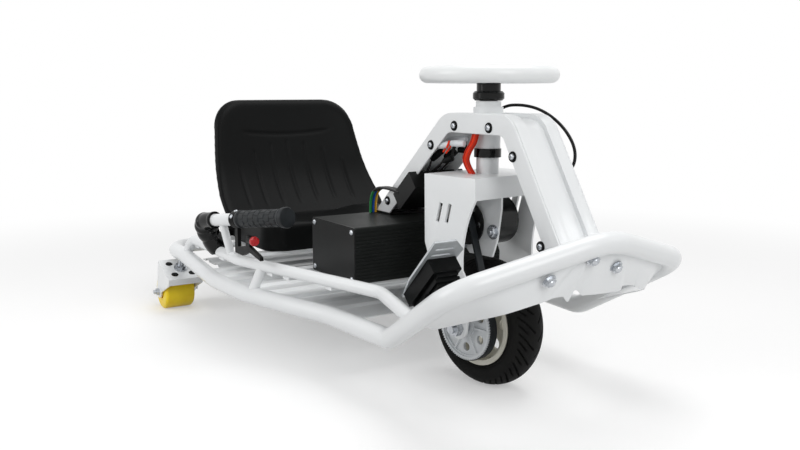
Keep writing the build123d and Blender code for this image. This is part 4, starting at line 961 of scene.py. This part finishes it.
BUTTON_SHARE = 0.38      # the switch's place along the lever
BUTTON_AHEAD = 0.0885
BUTTON_HEIGHT = 0.262
BUTTON_SCALLOPS = 8
BUTTON_OUTLINE = (       # radius, height
    (0, 0), (8.0, 0), (10.4, 1.5), (10.8, 6.0), (10.0, 8.2), (7.6, 9.2), (6.8, 8.2), (0, 8.6),
)


def build_button():
    """Red push button on the switch, with a scalloped rim to turn it by."""
    start = at(*LEVER_REAR)
    hang = start + (at(*LEVER_END) - start) * BUTTON_SHARE
    centre = Vector((hang.x + BUTTON_AHEAD, hang.y, BUTTON_HEIGHT))
    rows = len(BUTTON_OUTLINE) - 1

    def point(v, u):
        radius, far = BUTTON_OUTLINE[round(v * rows)]
        angle = math.tau * u
        radius *= 1 - 0.05 * (0.5 + 0.5 * math.cos(angle * BUTTON_SCALLOPS))
        return centre + Vector((far, radius * math.cos(angle), radius * math.sin(angle))) * MM

    mesh = outward(grid(rows, 64, point, wrap_columns=True))
    show("stop_button", mesh, BUTTON_RED, "chassis", "black_plastic", sharp=35)


# Sleeves and connectors tucked under the tower's top, each (start, end, radius) in millimetres

WHITE_SLEEVES = (
    ((-64, -40, 477), (-20, -40, 479), 6.4),
    ((-118, -38, 468), (-70, -40, 475), 6.4),
    ((-112, -14, 480), (-48, -14, 486), 6.0),
)
RED_TAILS = (
    ((-74, -44, 467), (-67, -42, 482), 2.2),
    ((-80, -36, 462), (-64, -38, 476), 2.0),
    ((-130, -40, 456), (-114, -38, 469), 2.4),
    ((-92, -40, 458), (-86, -38, 465), 1.8),
    ((-80, -42, 456), (-74, -39, 464), 1.8),
)
BLACK_PLUGS = (
    ((-146, -30, 440), (-112, -28, 460), 7.0),
    ((-120, -12, 444), (-90, -14, 458), 8.0),
    ((-96, -34, 440), (-70, -32, 447), 6.0),
    ((-84, -6, 462), (-58, -6, 462), 6.0),
)
BLACK_WIRES = (           # from the controller up to the plugs, and on to the sleeves
    ((-172, -30, 396), (-143, -30, 444), 1.9),
    ((-166, -20, 402), (-117, -13, 447), 1.9),
    ((-162, -34, 404), (-94, -34, 441), 1.7),
    ((-160, -8, 406), (-82, -6, 461), 1.7),
    ((-115, -28, 458), (-100, -38, 470), 1.9),
    ((-93, -14, 456), (-80, -14, 482), 1.9),
    ((-73, -32, 446), (-58, -39, 476), 1.7),
    ((-61, -6, 462), (-52, -13, 484), 1.7),
)


LUMP_OUTLINE = (         # share of the length, share of the radius
    (0, 0.01), (0.02, 0.7), (0.08, 1.0), (0.4, 1.04), (0.92, 1.0), (0.98, 0.7), (1, 0.01),
)


def lumps(name, rows, sides, finish, slot):
    """Short stiff lengths with rounded ends, as one mesh."""
    work = bmesh.new()
    for start, end, radius in rows:
        first, last = at(*start), at(*end)
        way = (last - first).normalized()
        side = way.cross(Vector((0, 0, 1))).normalized()
        up = side.cross(way)
        reach = (last - first).length

        def point(v, u):
            share, wide = LUMP_OUTLINE[round(v * (len(LUMP_OUTLINE) - 1))]
            angle = math.tau * (u + 0.125)
            ray = side * math.cos(angle) + up * math.sin(angle)
            return first + way * reach * share + ray * radius * wide * MM

        work.from_mesh(outward(grid(len(LUMP_OUTLINE) - 1, sides, point, wrap_columns=True)))
    mesh = bpy.data.meshes.new(name)
    work.to_mesh(mesh)
    work.free()
    show(name, mesh, finish, "chassis", slot, sharp=40)


def add_connectors():
    lumps("white_sleeves", WHITE_SLEEVES, 20, SLEEVE, "white_paint")
    lumps("red_tails", RED_TAILS, 12, SILICONE, "lead_orange")
    lumps("black_plugs", BLACK_PLUGS, 18, BLACK_NYLON, "black_plastic")
    lumps("black_wires", BLACK_WIRES, 10, SHEATH, "cable_black")


# Toothed edge on the open side of the wheel's pulley

PULLEY_TEETH = 80
PULLEY_Z = 127.5
TOOTH_DEPTH = 2.6
TOOTHED_RING = ((60.0, -58.4), (66.4, -58.4), (66.4, -54.4), (60.0, -54.4))    # radius, place across


def build_pulley_teeth():
    def point(v, u):
        corner = round(v * 4) % 4
        radius, across = TOOTHED_RING[corner]
        between = (u * PULLEY_TEETH) % 1 >= 0.5
        radius -= TOOTH_DEPTH if between and corner in (1, 2) else 0
        angle = math.tau * u
        return steered(radius * math.cos(angle), across, PULLEY_Z + radius * math.sin(angle))

    mesh = outward(grid(4, PULLEY_TEETH * 4, point, wrap_rows=True, wrap_columns=True))
    show("pulley_teeth", mesh, NYLON_GREY, "drive_wheel", "pulley_white", sharp=30)


# Steel with its edges eased, as a press and a coat of paint leave them

EASED = (
    # node, piece, body, width of the eased edge in millimetres
    ("tower_sides", "tower_side_bands", "chassis", 1.8),
    ("tower_skin", "tower_pressed_skin", "chassis", 5.0),
    ("fork", "fork_folded", "steering", 1.6),
    ("tower_nose_plate", "nose_plate_eased", "chassis", 1.0),
)


EASE_FROM = 35           # degrees of fold from which an edge is eased


def ease_edges():
    for node, name, body, width in EASED:
        work = bmesh.new()
        work.from_mesh(frame["nodes"][node].data)
        bmesh.ops.remove_doubles(work, verts=work.verts, dist=0.00002)
        bmesh.ops.dissolve_limit(work, angle_limit=math.radians(1), verts=work.verts, edges=work.edges)
        mesh = bpy.data.meshes.new(name)
        work.to_mesh(mesh)
        work.free()
        easing = {
            "width": width * MM,
            "segments": 4,
            "limit_method": "ANGLE",
            "angle_limit": math.radians(EASE_FROM),
            "use_clamp_overlap": True,
            "harden_normals": False,
        }
        show(name, modified(mesh, ("BEVEL", easing)), POWDER_COAT, body, "white_paint", node, sharp=32)


set_camera()
build_studio()
lay_cords()
dress_nodes()
build_tyre()
build_seat()
build_nose_sheet()
build_grip()
build_elbow()
build_button()
build_pulley_teeth()
add_connectors()
ease_edges()
add_fasteners()

scene.view_settings.view_transform = "Standard"
